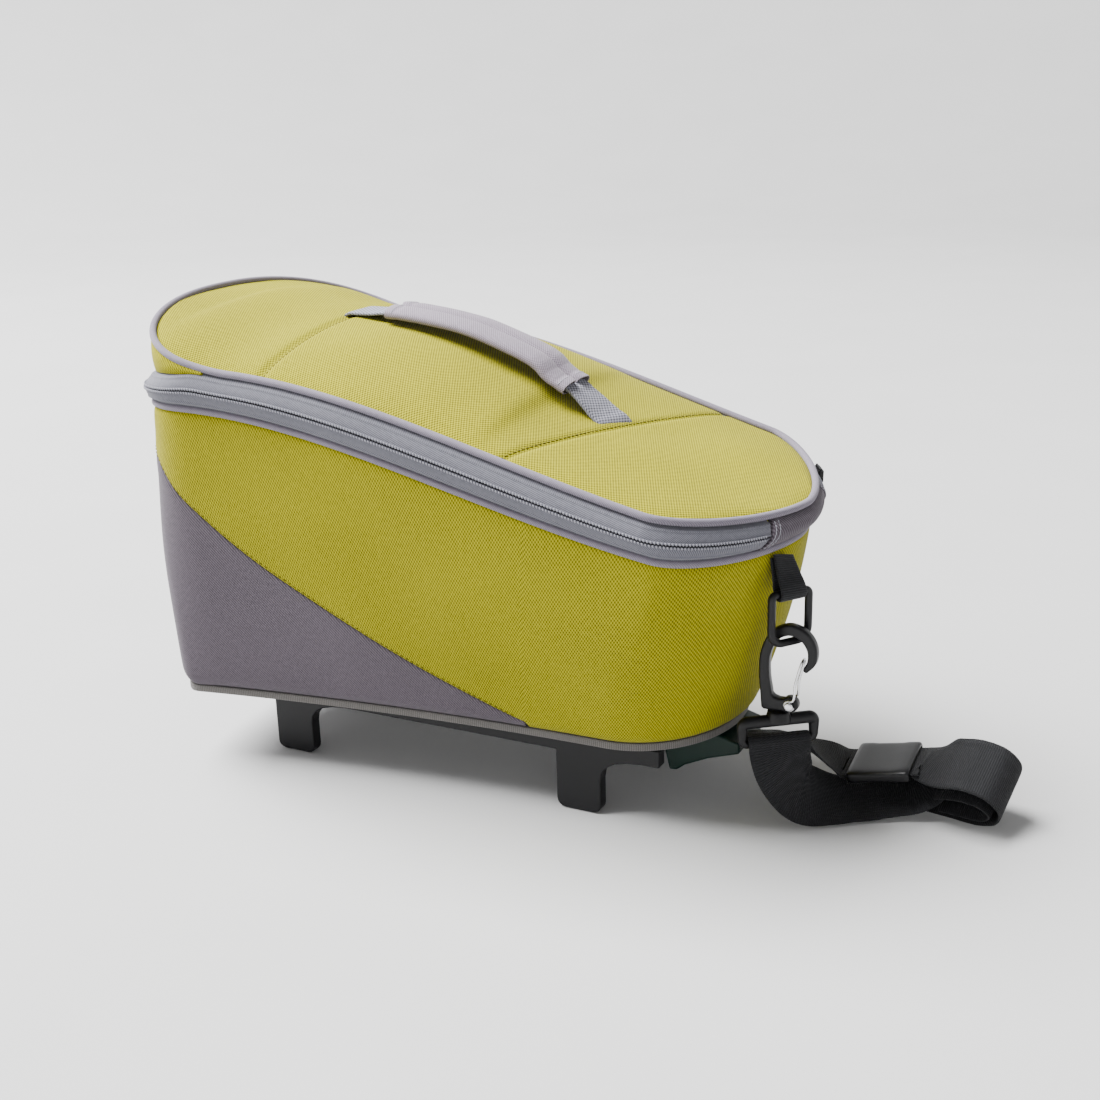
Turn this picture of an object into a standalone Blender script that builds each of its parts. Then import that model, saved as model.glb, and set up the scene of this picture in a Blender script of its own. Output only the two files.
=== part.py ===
"""Bicycle trunk bag: a padded tub with a zipped lid, a carry handle, a rack adapter and a clipped strap.

Metres, +Z up. +X runs to the narrow end, -Y is the near long side, and the feet stand on Z = 0.
"""
import math

import bmesh
import bpy
import numpy as np
from mathutils import Matrix, Vector

MM = 0.001
GAP = 0.35 * MM

# Bag body
BAG_LENGTH = 373 * MM
LID_WIDTH = 222 * MM
FOOT_WIDTH = 196 * MM
RIM_HEIGHT = 174 * MM
ZIP_BAND = 27 * MM
REAR_LIP_RISE = 36 * MM
REAR_LIP_LENGTH = 84 * MM
CROWN = 20 * MM
CLEARANCE_HEIGHT = 45 * MM
PANEL_WALL = 4 * MM
LID_WALL = 4 * MM
WALL_BULGE = 4 * MM
HEM_ROUNDING = 5 * MM
BINDING_HEIGHT = 4.5 * MM
BINDING_WIDTH = 4 * MM
BOTTOM_WALL = 3 * MM
REAR_OVERHANG = 3 * MM
FRONT_OVERHANG = 29 * MM

# Plan corners: radius and roundness power at the rear and front of each outline
RIM_REAR_CORNER = 54 * MM
RIM_FRONT_CORNER = 46 * MM
LID_REAR_CORNER = 56 * MM
LID_FRONT_CORNER = 52 * MM
FOOT_REAR_CORNER = 28 * MM
FOOT_FRONT_CORNER = 57 * MM
REAR_POWER = 2.25
RIM_FRONT_POWER = 1.7
LID_FRONT_POWER = 1.6
FOOT_FRONT_POWER = 2.0
LID_REAR_SETBACK = 4.5 * MM
LID_FRONT_REACH = 3.5 * MM

# Zip band and piping
PIPING_RADIUS = 2.0 * MM
TAPE_THICKNESS = 1.6 * MM
COIL_WIDTH = 5.0 * MM
COIL_THICKNESS = 2.6 * MM
BAND_BULGE = 4.5 * MM
HINGE_HALF_WIDTH = 46 * MM
HINGE_THICKNESS = 2.4 * MM
GUSSET_THICKNESS = 2.5 * MM
GUSSET_MIN_RISE = 3.0 * MM
SLIDER_LENGTH = 12 * MM
SLIDER_WIDTH = 9 * MM
SLIDER_THICKNESS = 3.5 * MM

# Lid seams, as shares of the length
REAR_SEAM = 0.27
FRONT_SEAM = 0.72
FRONT_SEAM_SKEW = 0.065
LID_SEAT_GAP = 1.9 * MM

# Handle
HANDLE_WIDTH = 25 * MM
HANDLE_THICKNESS = 2 * MM
GRIP_WIDTH = 33 * MM
GRIP_THICKNESS = 9 * MM
GRIP_START = 0.17
GRIP_END = 0.87
HANDLE_RISE = 11 * MM
HANDLE_END_INSET = 4 * MM

# Rack adapter
ADAPTER_REAR = -126 * MM
ADAPTER_FRONT = 129 * MM
ADAPTER_WIDTH = 114 * MM
PLATE_THICKNESS = 7 * MM
PLATE_NOSE_SETBACK = 17 * MM
RAIL_THICKNESS = 8 * MM
RAIL_HEIGHT = 10 * MM
LEG_WIDTH = 27 * MM
FRONT_LEG_X = 67 * MM
GUSSET_RUN = 34 * MM
GUSSET_DROP = 9 * MM
LEVER_WIDTH = 42 * MM
LEVER_REACH = 40 * MM
LEVER_DROP = 22 * MM
LEVER_PIN_RADIUS = 2.0 * MM
LEVER_PIN_SETBACK = 8 * MM
LEVER_PIN_DROP = 6 * MM
PIN_CLEARANCE = 0.4 * MM

# Ring loop, ring, snap hook and strap frame
LOOP_Y = -27 * MM
LOOP_WEB_WIDTH = 15.5 * MM
LOOP_WEB_THICKNESS = 1.5 * MM
LOOP_PLY_GAP = 0.5 * MM
LOOP_END_DROP = 3 * MM
RING_WIDTH = 27 * MM
RING_HEIGHT = 31 * MM
RING_WIRE = 2.1 * MM
RING_TOP_CORNER = 2.6 * MM
RING_LOWER_CORNER = 7 * MM
RING_YAW = math.radians(36)
RING_FORWARD = 11 * MM
RING_DROP = 17 * MM
HOOK_THICKNESS = 6 * MM
HOOK_WIDTH = 25 * MM
HOOK_HEIGHT = 48.5 * MM
HOOK_YAW = math.radians(88)
HOOK_FOOT_WIDTH = 17.5 * MM
HOOK_FOOT_HEIGHT = 8 * MM
RIVET_RADIUS = 1.4 * MM
RIVET_ACROSS = 1.6 * MM
RIVET_RISE = 4.4 * MM
LUG_RADIUS = 4.3 * MM
GATE_WIRE = 0.65 * MM
GATE_LENGTH = 25.5 * MM
NECK_RADIUS = 6 * MM
NECK_HEIGHT = 2.2 * MM
FRAME_WIDTH = 44 * MM
FRAME_HEIGHT = 17 * MM
FRAME_WIRE = 2.4 * MM
FRAME_TOP_WIRE = 3.4 * MM
FRAME_CORNER = 2.8 * MM
FRAME_YAW = math.radians(52)

# Shoulder strap
STRAP_WIDTH = 34 * MM
STRAP_THICKNESS = 1.6 * MM
ROLL_CORNER = (247 * MM, 19 * MM)
ROLL_YAW = math.radians(-10)
ROLL_RISE = math.radians(31)
ROLL_LENGTH = 50 * MM
ROLL_HEIGHT = 30 * MM
ADJUSTER_LENGTH = 34 * MM
ADJUSTER_WIDTH = 41 * MM
ADJUSTER_THICKNESS = 7 * MM

# Mesh density
RING_COLUMNS = 23
WALL_ROWS = 6
LID_ROWS = 12

# Bag sections. Columns: share of length, rim half width / half LID_WIDTH,
# foot half width / half FOOT_WIDTH, rim height / RIM_HEIGHT, zip band height / ZIP_BAND
SECTIONS = (
    (0.0, 1.00, 1.00, 1.000, 0.76),
    (1 / 3, 0.93, 0.81, 0.965, 0.98),
    (2 / 3, 0.90, 0.71, 0.786, 0.97),
    (1.0, 0.80, 0.70, 0.628, 0.76),
)

# Seam between the grey wedge and the green side. Columns: share of length, share of wall height
COLOUR_SEAM = (
    (0.00, 0.90),
    (0.06, 0.84),
    (0.12, 0.71),
    (0.23, 0.53),
    (0.35, 0.39),
    (0.49, 0.24),
    (0.60, 0.13),
    (0.70, 0.03),
)

# Crown of the lid's padding along its middle. Columns: share of length, height / CROWN
CROWN_LINE = (
    (0.00, 0.05),
    (0.06, 0.50),
    (0.15, 0.86),
    (0.27, 0.93),
    (0.42, 1.00),
    (0.58, 0.70),
    (0.72, 0.20),
    (0.84, 0.17),
    (1.00, 0.05),
)

# Handle arch. Columns: share of the handle's run, rise above the lid / HANDLE_RISE
HANDLE_ARCH = (
    (0.00, 0.00),
    (0.06, 0.08),
    (0.17, 0.36),
    (0.35, 0.58),
    (0.55, 0.86),
    (0.72, 1.00),
    (0.87, 0.92),
    (0.94, 0.46),
    (1.00, 0.00),
)

# Snap hook centre line from above its foot to its nose. Columns: across / HOOK_WIDTH,
# height / HOOK_HEIGHT, thickness / HOOK_THICKNESS
HOOK_LINE = (
    (-0.45, 0.18, 1.05),
    (-0.50, 0.41, 0.92),
    (-0.47, 0.67, 0.90),
    (-0.27, 0.87, 0.94),
    (0.04, 0.938, 1.00),
    (0.33, 0.88, 1.00),
    (0.50, 0.73, 0.88),
    (0.48, 0.59, 0.74),
    (0.38, 0.51, 0.50),
)
HOOK_CROWN_ROW = 4

# Place of the frame's lower bar in mm that the two routes below are drawn for
BAR_DRAWN = (187.1, -30.2, 51.7)

# Strap between the inner turn and the frame, from the roll to the frame. Columns: X, Y and Z in mm,
# turn and rise of the width in degrees, share by which the point follows the frame's lower bar
FRONT_ROUTE = (
    (248, 20, 12, 90, 28, 0.0),
    (237, 16, 8.5, 104, 20, 0.0),
    (225, 9, 6.5, 114, 15, 0.0),
    (214, 1, 8.6, 116, 20, 0.2),
    (205, -9, 12.8, 104, 30, 0.4),
    (198, -20, 18.5, 80, 38, 0.6),
    (193, -29, 31, 58, 26, 0.8),
    (190.5, -33, 43, 44, 12, 1.0),
)

# Strap between the frame and the adjuster. Columns as above
BACK_ROUTE = (
    (180.5, -19.5, 50, 37, 0, 1.0),
    (181, -10, 45.5, 8, -4, 0.9),
    (187, 2, 37, -24, -8, 0.6),
    (197, 13, 27, -50, -7, 0.2),
)

# Adjuster's two ends on the strap. Columns as above
ADJUSTER_ENDS = (
    (209, 20.5, 20, -87, -2, 0.0),
    (251, 22.5, 28, -87, -2, 0.0),
)

# Cross-section of the strap's outer turn. Columns: along / ROLL_LENGTH, up / ROLL_HEIGHT
OUTER_TURN = (
    (0.38, 0.92),
    (0.66, 1.03),
    (0.88, 0.93),
    (1.00, 0.57),
    (0.93, 0.20),
    (0.76, 0.05),
    (0.40, 0.035),
    (0.16, 0.035),
)

# Cross-section of the inner turn, from its tail to its arch. Columns as above
INNER_TURN = (
    (0.30, 0.15),
    (0.60, 0.16),
    (0.78, 0.19),
    (0.88, 0.36),
    (0.82, 0.57),
    (0.64, 0.66),
    (0.42, 0.59),
    (0.22, 0.40),
)

COLOURS = {
    "green_fabric": ((0.33, 0.29, 0.035), 0.9, 0.0),
    "grey_fabric": ((0.17, 0.155, 0.18), 0.9, 0.0),
    "binding_tape": ((0.19, 0.18, 0.175), 0.85, 0.0),
    "piping": ((0.20, 0.19, 0.22), 0.8, 0.0),
    "zip_tape": ((0.16, 0.16, 0.19), 0.9, 0.0),
    "zip_coil": ((0.05, 0.05, 0.055), 0.6, 0.0),
    "grey_webbing": ((0.21, 0.21, 0.25), 0.85, 0.0),
    "grip_fabric": ((0.40, 0.36, 0.43), 0.9, 0.0),
    "black_webbing": ((0.012, 0.012, 0.014), 0.85, 0.0),
    "black_plastic": ((0.018, 0.018, 0.02), 0.45, 0.0),
    "green_plastic": ((0.003, 0.03, 0.018), 0.45, 0.0),
    "steel": ((0.6, 0.6, 0.62), 0.3, 1.0),
}


class Plan:
    """Outline seen from above: a cubic width through the section table, rounded off at both ends."""

    def __init__(self, rear, front, widths, rear_corner, front_corner, front_power):
        self.rear = rear
        self.front = front
        self.widths = widths
        self.rear_corner = rear_corner
        self.front_corner = front_corner
        self.front_power = front_power

    def rounding(self, share):
        """Width factor, 0 at either end and 1 between the corners."""
        length = self.front - self.rear
        back = max(0.0, 1 - share * length / self.rear_corner)
        ahead = max(0.0, 1 - (1 - share) * length / self.front_corner)
        rear_factor = (1 - back ** REAR_POWER) ** (1 / REAR_POWER)
        return rear_factor * (1 - ahead ** self.front_power) ** (1 / self.front_power)

    def half_width(self, share):
        return cubic(share, self.widths) * self.rounding(share)

    def point(self, station):
        """Point at a station: 0 is the rear middle, -1 and 1 meet at the nose, negative is the near side."""
        share = station_share(station)
        side = -1 if station < 0 else 1
        return Vector((self.rear + (self.front - self.rear) * share, side * self.half_width(share), 0))

    def normal(self, station):
        """Unit outward direction in plan."""
        step = 0.004
        ahead = self.point(min(station + step, 1 - 1e-9) if abs(station) < 1 - step else wrap(station + step))
        behind = self.point(wrap(station - step))
        along = ahead - behind
        return Vector((-along.y, along.x, 0)).normalized()

    def inset(self, distance):
        return Plan(self.rear + distance, self.front - distance, [w - distance for w in self.widths],
                    self.rear_corner - distance, self.front_corner - distance, self.front_power)


def wrap(station):
    """Bring a station back into -1 to 1."""
    return (station + 1) % 2 - 1


def station_share(station):
    """Share of the bag's length at a station, crowded towards both ends."""
    return (1 - math.cos(math.pi * abs(station))) / 2


def cubic(share, values):
    """Value of the cubic through four evenly spaced values."""
    knots = [row[0] for row in SECTIONS]
    total = 0.0
    for i, value in enumerate(values):
        weight = 1.0
        for j, knot in enumerate(knots):
            if j != i:
                weight *= (share - knot) / (knots[i] - knot)
        total += weight * value
    return total


def table(rows, x, column=1):
    """Read a table at x by straight lines between its rows."""
    return float(np.interp(x, [row[0] for row in rows], [row[column] for row in rows]))


def smooth(points, steps):
    """Points along a smooth curve through the given ones, with a number of steps to each stretch.

    The slope at each point weighs the stretches on either side by their lengths, so that short
    stretches next to long ones don't swing out.
    """
    lengths = [max((b - a).length, 1e-9) for a, b in zip(points, points[1:])]
    slopes = [(b - a) / length for a, b, length in zip(points, points[1:], lengths)]
    tangents = [slopes[0]]
    for before, after, low, high in zip(lengths, lengths[1:], slopes, slopes[1:]):
        tangents.append((low * after + high * before) / (before + after))
    tangents.append(slopes[-1])
    result = []
    for i, length in enumerate(lengths):
        for k in range(steps):
            u = k / steps
            result.append(points[i] * (2 * u ** 3 - 3 * u ** 2 + 1) + points[i + 1] * (3 * u ** 2 - 2 * u ** 3) +
                          tangents[i] * length * (u ** 3 - 2 * u ** 2 + u) +
                          tangents[i + 1] * length * (u ** 3 - u ** 2))
    result.append(points[-1])
    return result


REAR_X = -BAG_LENGTH / 2
FRONT_X = BAG_LENGTH / 2
RIM = Plan(REAR_X, FRONT_X, [row[1] * LID_WIDTH / 2 for row in SECTIONS],
           RIM_REAR_CORNER, RIM_FRONT_CORNER, RIM_FRONT_POWER)
LID = Plan(REAR_X + LID_REAR_SETBACK, FRONT_X + LID_FRONT_REACH, RIM.widths,
           LID_REAR_CORNER, LID_FRONT_CORNER, LID_FRONT_POWER)
FOOT = Plan(REAR_X + REAR_OVERHANG, FRONT_X - FRONT_OVERHANG, [row[2] * FOOT_WIDTH / 2 for row in SECTIONS],
            FOOT_REAR_CORNER, FOOT_FRONT_CORNER, FOOT_FRONT_POWER)
CROWN_CURVE = smooth([Vector((share, height)) for share, height in CROWN_LINE], 4)
WALL_FOOT_Z = CLEARANCE_HEIGHT + BINDING_HEIGHT + GAP


def rim_z(share):
    return CLEARANCE_HEIGHT + RIM_HEIGHT * cubic(share, [row[3] for row in SECTIONS])


def lip(share):
    """Extra rise of the lid's edge round the wide end."""
    return REAR_LIP_RISE * max(0.0, 1 - share * BAG_LENGTH / REAR_LIP_LENGTH) ** 2


def tape_top_z(share):
    return rim_z(share) + ZIP_BAND * cubic(share, [row[4] for row in SECTIONS])


def lid_edge_z(share):
    return tape_top_z(share) + lip(share)


def wall_point(station, height):
    """Outer face of the tub wall: height is 0 at the hem and 1 at the rim."""
    share = station_share(station)
    flat = FOOT.point(station).lerp(RIM.point(station), height)
    outward = RIM.normal(station)
    hem = max(0.0, 1 - height * RIM_HEIGHT / (2 * HEM_ROUNDING)) ** 2
    flat += outward * (WALL_BULGE * 4 * height * (1 - height) - HEM_ROUNDING * 0.5 * hem)
    flat.z = WALL_FOOT_Z + (rim_z(share) - WALL_FOOT_Z) * height
    return flat


def band_point(station, height):
    """Outer face of the zip band: height is 0 above the lower piping and 1 under the upper one."""
    share = station_share(station)
    outward = RIM.normal(station)
    low = rim_z(share) + 2 * PIPING_RADIUS + 2 * GAP
    rise = lip(share)
    extra = rise if rise < GUSSET_MIN_RISE else 0.0
    high = tape_top_z(share) + extra - PIPING_RADIUS - GAP
    flat = RIM.point(station).lerp(LID.point(station), height)
    flat += outward * (BAND_BULGE * 4 * height * (1 - height) + PIPING_RADIUS * 0.4)
    flat.z = low + (high - low) * height
    return flat


def gusset_point(station, height):
    """Outer face of the lid's rear side wall, from the zip tape up to the upper piping."""
    share = station_share(station)
    low = tape_top_z(share) - PIPING_RADIUS
    high = lid_edge_z(share) - PIPING_RADIUS - GAP
    flat = LID.point(station) + RIM.normal(station) * PIPING_RADIUS * 0.4
    flat.z = low + (high - low) * height
    return flat


def lid_z(share, across):
    """Top face of the lid: across is -1 at the near edge and 1 at the far edge."""
    crown = CROWN * float(np.interp(share, [p.x for p in CROWN_CURVE], [p.y for p in CROWN_CURVE]))
    return lid_edge_z(share) + crown * (1 - abs(across) ** 2.2) * LID.rounding(share) + PIPING_RADIUS * 0.5


def material(name):
    """The named finish, made once."""
    found = bpy.data.materials.get(name)
    if found:
        return found
    colour, roughness, metallic = COLOURS[name]
    made = bpy.data.materials.new(name)
    made.use_nodes = True
    shader = made.node_tree.nodes["Principled BSDF"]
    shader.inputs["Base Color"].default_value = (*colour, 1)
    shader.inputs["Roughness"].default_value = roughness
    shader.inputs["Metallic"].default_value = metallic
    made.diffuse_color = (*colour, 1)
    return made


def add_object(name, bm, finish, origin=(0, 0, 0), sharp_angle=35):
    """Put a finished mesh into the scene as one named object whose origin is at the given point."""
    bmesh.ops.remove_doubles(bm, verts=bm.verts, dist=1e-6)
    bmesh.ops.recalc_face_normals(bm, faces=bm.faces)
    bmesh.ops.translate(bm, verts=bm.verts, vec=-Vector(origin))
    mesh = bpy.data.meshes.new(name)
    bm.to_mesh(mesh)
    bm.free()
    mesh.materials.append(material(finish))
    mesh.shade_smooth()
    mesh.set_sharp_from_angle(angle=math.radians(sharp_angle))
    piece = bpy.data.objects.new(name, mesh)
    piece.location = origin
    bpy.context.scene.collection.objects.link(piece)
    return piece


def loft(rings, closed):
    """Skin a row of equal rings; an open row gets end caps."""
    bm = bmesh.new()
    rows = [[bm.verts.new(point) for point in ring] for ring in rings]
    pairs = list(zip(rows, rows[1:]))
    if closed:
        pairs.append((rows[-1], rows[0]))
    for left, right in pairs:
        count = len(left)
        for k in range(count):
            bm.faces.new((left[k], left[(k + 1) % count], right[(k + 1) % count], right[k]))
    if not closed:
        bm.faces.new(rows[0])
        bm.faces.new(list(reversed(rows[-1])))
    return bm


def sweep(path, sides, profile, closed=False):
    """Carry a flat profile along a path; sides gives the profile's first direction at each point."""
    rings = []
    count = len(path)
    for i, (point, side) in enumerate(zip(path, sides)):
        before = path[i - 1] if closed or i else path[i]
        after = path[(i + 1) % count] if closed or i < count - 1 else path[i]
        along = (after - before).normalized()
        first = (side - along * side.dot(along)).normalized()
        second = along.cross(first)
        shape = profile(i) if callable(profile) else profile
        rings.append([point + first * a + second * b for a, b in shape])
    return loft(rings, closed)


def round_profile(radius, count):
    return [(radius * math.cos(2 * math.pi * k / count), radius * math.sin(2 * math.pi * k / count))
            for k in range(count)]


def flat_profile(width, thickness):
    """Section of a strap with its long edges eased."""
    w = width / 2
    t = thickness / 2
    ease = min(t * 0.9, w * 0.2)
    return [(-w, -t + ease), (-w + ease, -t), (w - ease, -t), (w, -t + ease),
            (w, t - ease), (w - ease, t), (-w + ease, t), (-w, t - ease)]


def strip(stations, rows, surface, normal, thickness, closed):
    """A wall of even thickness behind a surface, over the given stations and rows of heights."""
    rings = []
    for station in stations:
        heights = rows(station) if callable(rows) else rows
        outward = normal(station)
        outer = [surface(station, h) for h in heights]
        inner = [point - outward * thickness for point in reversed(outer)]
        rings.append(outer + inner)
    return loft(rings, closed)


def spread(low, high, count):
    return [low + (high - low) * k / count for k in range(count + 1)]


def ring_stations():
    """Evenly spread stations round a closed outline, starting next to the nose on the near side."""
    return [-1 + k / RING_COLUMNS for k in range(2 * RING_COLUMNS)]


def arc_stations(limit):
    """Stations from -limit to limit, on the same columns as the closed outlines."""
    inside = [s for s in ring_stations() if abs(s) < limit - 0.2 / RING_COLUMNS]
    return [-limit] + inside + [limit]


def find_station(test):
    """Station on the far side where a falling test value reaches zero, by halving."""
    low, high = 0.5, 1.0
    for _ in range(40):
        middle = (low + high) / 2
        if test(middle) > 0:
            low = middle
        else:
            high = middle
    return low


def seam_height(station):
    return table(COLOUR_SEAM, station_share(station))


def build_tub():
    """Green side wall, grey wedge round the wide end, bottom and binding."""
    step = 1.3 * GAP / RIM_HEIGHT
    last_share = COLOUR_SEAM[-1][0]
    wedge_limit = max(s for s in ring_stations() if s > 0 and station_share(s) <= last_share)

    def green_rows(station):
        low = seam_height(station) + step if abs(station) <= wedge_limit + 1e-9 else 0.0
        return spread(low, 1.0, WALL_ROWS)

    green = strip(ring_stations(), green_rows, wall_point, RIM.normal, PANEL_WALL, True)
    add_object("tub_side_panel", green, "green_fabric")
    wedge_stations = [s for s in ring_stations() if abs(s) <= wedge_limit + 1e-9]
    wedge = strip(wedge_stations, lambda s: spread(0.0, seam_height(s) - step, WALL_ROWS),
                  wall_point, RIM.normal, PANEL_WALL, False)
    add_object("tub_wedge_panel", wedge, "grey_fabric")

    hem = FOOT.inset(HEM_ROUNDING * 0.5)
    inside = hem.inset(BINDING_WIDTH)
    binding = []
    for station in ring_stations():
        ring = []
        for plan, z in ((hem, 0), (hem, BINDING_HEIGHT), (inside, BINDING_HEIGHT), (inside, 0)):
            point = plan.point(station)
            point.z = CLEARANCE_HEIGHT + z
            ring.append(point)
        binding.append(ring)
    add_object("bottom_binding", loft(binding, True), "binding_tape")

    floor = inside.inset(GAP * 1.3)
    layers = []
    for z in (GAP, GAP + BOTTOM_WALL):
        ring = [floor.point(s) for s in ring_stations()]
        for point in ring:
            point.z = CLEARANCE_HEIGHT + z
        layers.append(ring)
    add_object("tub_bottom", loft(layers, False), "grey_fabric")


def piping(name, plan, height, stations):
    path = []
    for station in stations:
        point = plan.point(station)
        point.z = height(station_share(station))
        path.append(point)
    sides = [Vector((0, 0, 1))] * len(path)
    add_object(name, sweep(path, sides, round_profile(PIPING_RADIUS, 6), True), "piping", sharp_angle=60)


def build_band():
    """Both pipings, the zip tapes and coil, the hinge patch, the slider and the lid's rear gusset."""
    piping("lower_piping", RIM.inset(PIPING_RADIUS * 0.5), lambda t: rim_z(t) + PIPING_RADIUS + GAP,
           ring_stations())
    piping("upper_piping", LID, lid_edge_z, ring_stations())

    patch_station = find_station(lambda s: RIM.half_width(station_share(s)) - HINGE_HALF_WIDTH)
    coil_share = COIL_WIDTH / ZIP_BAND
    rows_low = spread(0.0, 0.5 - coil_share / 2 - GAP / ZIP_BAND, 3)
    rows_coil = spread(0.5 - coil_share / 2, 0.5 + coil_share / 2, 2)
    rows_high = spread(0.5 + coil_share / 2 + GAP / ZIP_BAND, 1.0, 3)
    zip_stations = arc_stations(patch_station)
    for name, rows, thickness, finish in (
            ("zip_tape_lower", rows_low, TAPE_THICKNESS, "zip_tape"),
            ("zip_coil", rows_coil, COIL_THICKNESS, "zip_coil"),
            ("zip_tape_upper", rows_high, TAPE_THICKNESS, "zip_tape")):
        bm = strip(zip_stations, rows, band_point, RIM.normal, thickness, False)
        add_object(name, bm, finish)

    patch_edge = patch_station + 2.5 * GAP / BAG_LENGTH * 2
    near = [s for s in ring_stations() if s < -patch_edge - 0.2 / RING_COLUMNS]
    far = [s for s in ring_stations() if s > patch_edge + 0.2 / RING_COLUMNS]
    patch_stations = [patch_edge] + far + near + [-patch_edge]
    patch = strip(patch_stations, spread(0.0, 1.0, 4), band_point, RIM.normal, HINGE_THICKNESS, False)
    add_object("hinge_patch", patch, "grey_fabric")

    build_slider(patch_station)

    gusset_share = REAR_LIP_LENGTH / BAG_LENGTH * (1 - math.sqrt(GUSSET_MIN_RISE / REAR_LIP_RISE))
    gusset_limit = max(s for s in ring_stations() if s > 0 and station_share(s) <= gusset_share)
    gusset = strip([s for s in ring_stations() if abs(s) <= gusset_limit + 1e-9], spread(0.0, 1.0, 2),
                   gusset_point, RIM.normal, GUSSET_THICKNESS, False)
    add_object("lid_rear_gusset", gusset, "green_fabric")


def build_slider(patch_station):
    """Plain zip slider on the far side, next to the hinge patch."""
    station = patch_station - 0.055
    middle = band_point(station, 0.5)
    outward = RIM.normal(station)
    along = (band_point(station + 0.01, 0.5) - band_point(station - 0.01, 0.5)).normalized()
    up = outward.cross(along).normalized()
    centre = middle + outward * (SLIDER_THICKNESS / 2 + GAP)
    bm = bmesh.new()
    bmesh.ops.create_cube(bm, size=1)
    turn = Matrix((along, up, along.cross(up))).transposed().to_4x4()
    size = Matrix.Diagonal((SLIDER_LENGTH, SLIDER_WIDTH, SLIDER_THICKNESS, 1))
    bmesh.ops.transform(bm, matrix=Matrix.Translation(centre) @ turn @ size, verts=bm.verts)
    bmesh.ops.bevel(bm, geom=bm.edges[:], offset=1.2 * MM, segments=2, affect="EDGES")
    add_object("zip_slider", bm, "black_plastic")


def lid_panel(name, low, high, columns, low_skew=0.0, high_skew=0.0):
    """One crowned panel of the lid between two shares of the length, with either end skewed."""
    plan = LID.inset(PIPING_RADIUS + LID_SEAT_GAP)
    start = math.acos(1 - 2 * low) / math.pi
    end = math.acos(1 - 2 * high) / math.pi
    across = [math.sin(math.pi / 2 * (2 * k / LID_ROWS - 1)) for k in range(LID_ROWS + 1)]
    rings = []
    for k, station in enumerate(spread(start, end, columns)):
        skew = low_skew * (1 - k / columns) ** 2 + high_skew * (k / columns) ** 2
        top = []
        for a in across:
            share = station_share(station) + skew * a
            x = plan.rear + (plan.front - plan.rear) * share
            half = max(plan.half_width(share), 0.4 * MM)
            top.append(Vector((x, half * a, lid_z(share, a))))
        under = [point - Vector((0, 0, LID_WALL)) for point in reversed(top)]
        rings.append(top + under)
    add_object(name, loft(rings, False), "green_fabric")


def build_lid():
    half_gap = GAP / BAG_LENGTH / 2
    lid_panel("lid_rear_panel", 0.0, REAR_SEAM - half_gap, 11)
    lid_panel("lid_centre_panel", REAR_SEAM + half_gap, FRONT_SEAM - half_gap, 11, 0.0, FRONT_SEAM_SKEW)
    lid_panel("lid_front_panel", FRONT_SEAM + half_gap, 1.0, 11, FRONT_SEAM_SKEW, 0.0)


def handle_path(shares):
    """Middle line of the handle webbing at the given shares of its run."""
    start = REAR_X + BAG_LENGTH * REAR_SEAM + HANDLE_END_INSET
    end = REAR_X + BAG_LENGTH * FRONT_SEAM - HANDLE_END_INSET
    rows = [Vector((u, rise, 0)) for u, rise in HANDLE_ARCH]
    arch = smooth(rows, 6)
    path = []
    for u in shares:
        rise = float(np.interp(u, [p.x for p in arch], [p.y for p in arch])) * HANDLE_RISE
        x = start + (end - start) * u
        z = lid_z((x - REAR_X) / BAG_LENGTH, 0) + rise + HANDLE_THICKNESS / 2 + 3 * GAP
        path.append(Vector((x, 0, z)))
    return path


def build_handle():
    """Flat webbing between the lid seams, and the padded sleeve round it."""
    held = spread(GRIP_START, GRIP_END, 20)
    path = handle_path(spread(0, GRIP_START, 5)[:-1] + held + spread(GRIP_END, 1, 6)[1:])
    sides = [Vector((0, 1, 0))] * len(path)
    add_object("handle_webbing", sweep(path, sides, flat_profile(HANDLE_WIDTH, HANDLE_THICKNESS)), "grey_webbing")

    outer = flat_profile(GRIP_WIDTH, GRIP_THICKNESS)
    inner = flat_profile(HANDLE_WIDTH + 2 * GAP, HANDLE_THICKNESS + 3 * GAP)
    grip = sleeve(handle_path(held), Vector((0, 1, 0)), outer, inner)
    add_object("handle_grip", grip, "grip_fabric")


def extrude_outline(points, low, high):
    """Solid from an outline in X and Z, carried along Y."""
    return loft([[Vector((x, y, z)) for x, z in points] for y in (low, high)], False)


def cut(piece, cutter):
    """Take a cutter away from a piece and apply the result."""
    cutter.hide_render = True
    cutter.display_type = "WIRE"
    step = piece.modifiers.new("cut", "BOOLEAN")
    step.operation = "DIFFERENCE"
    step.solver = "EXACT"
    step.object = cutter


def join(piece, other):
    """Fuse another solid into a piece."""
    other.hide_render = True
    other.display_type = "WIRE"
    step = piece.modifiers.new("join", "BOOLEAN")
    step.operation = "UNION"
    step.solver = "EXACT"
    step.object = other


def rod(name, start, end, radius, finish, count=16):
    """Round bar between two points."""
    along = (end - start).normalized()
    side = along.orthogonal()
    return add_object(name, sweep([start, end], [side, side], round_profile(radius, count)), finish, start)


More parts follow.
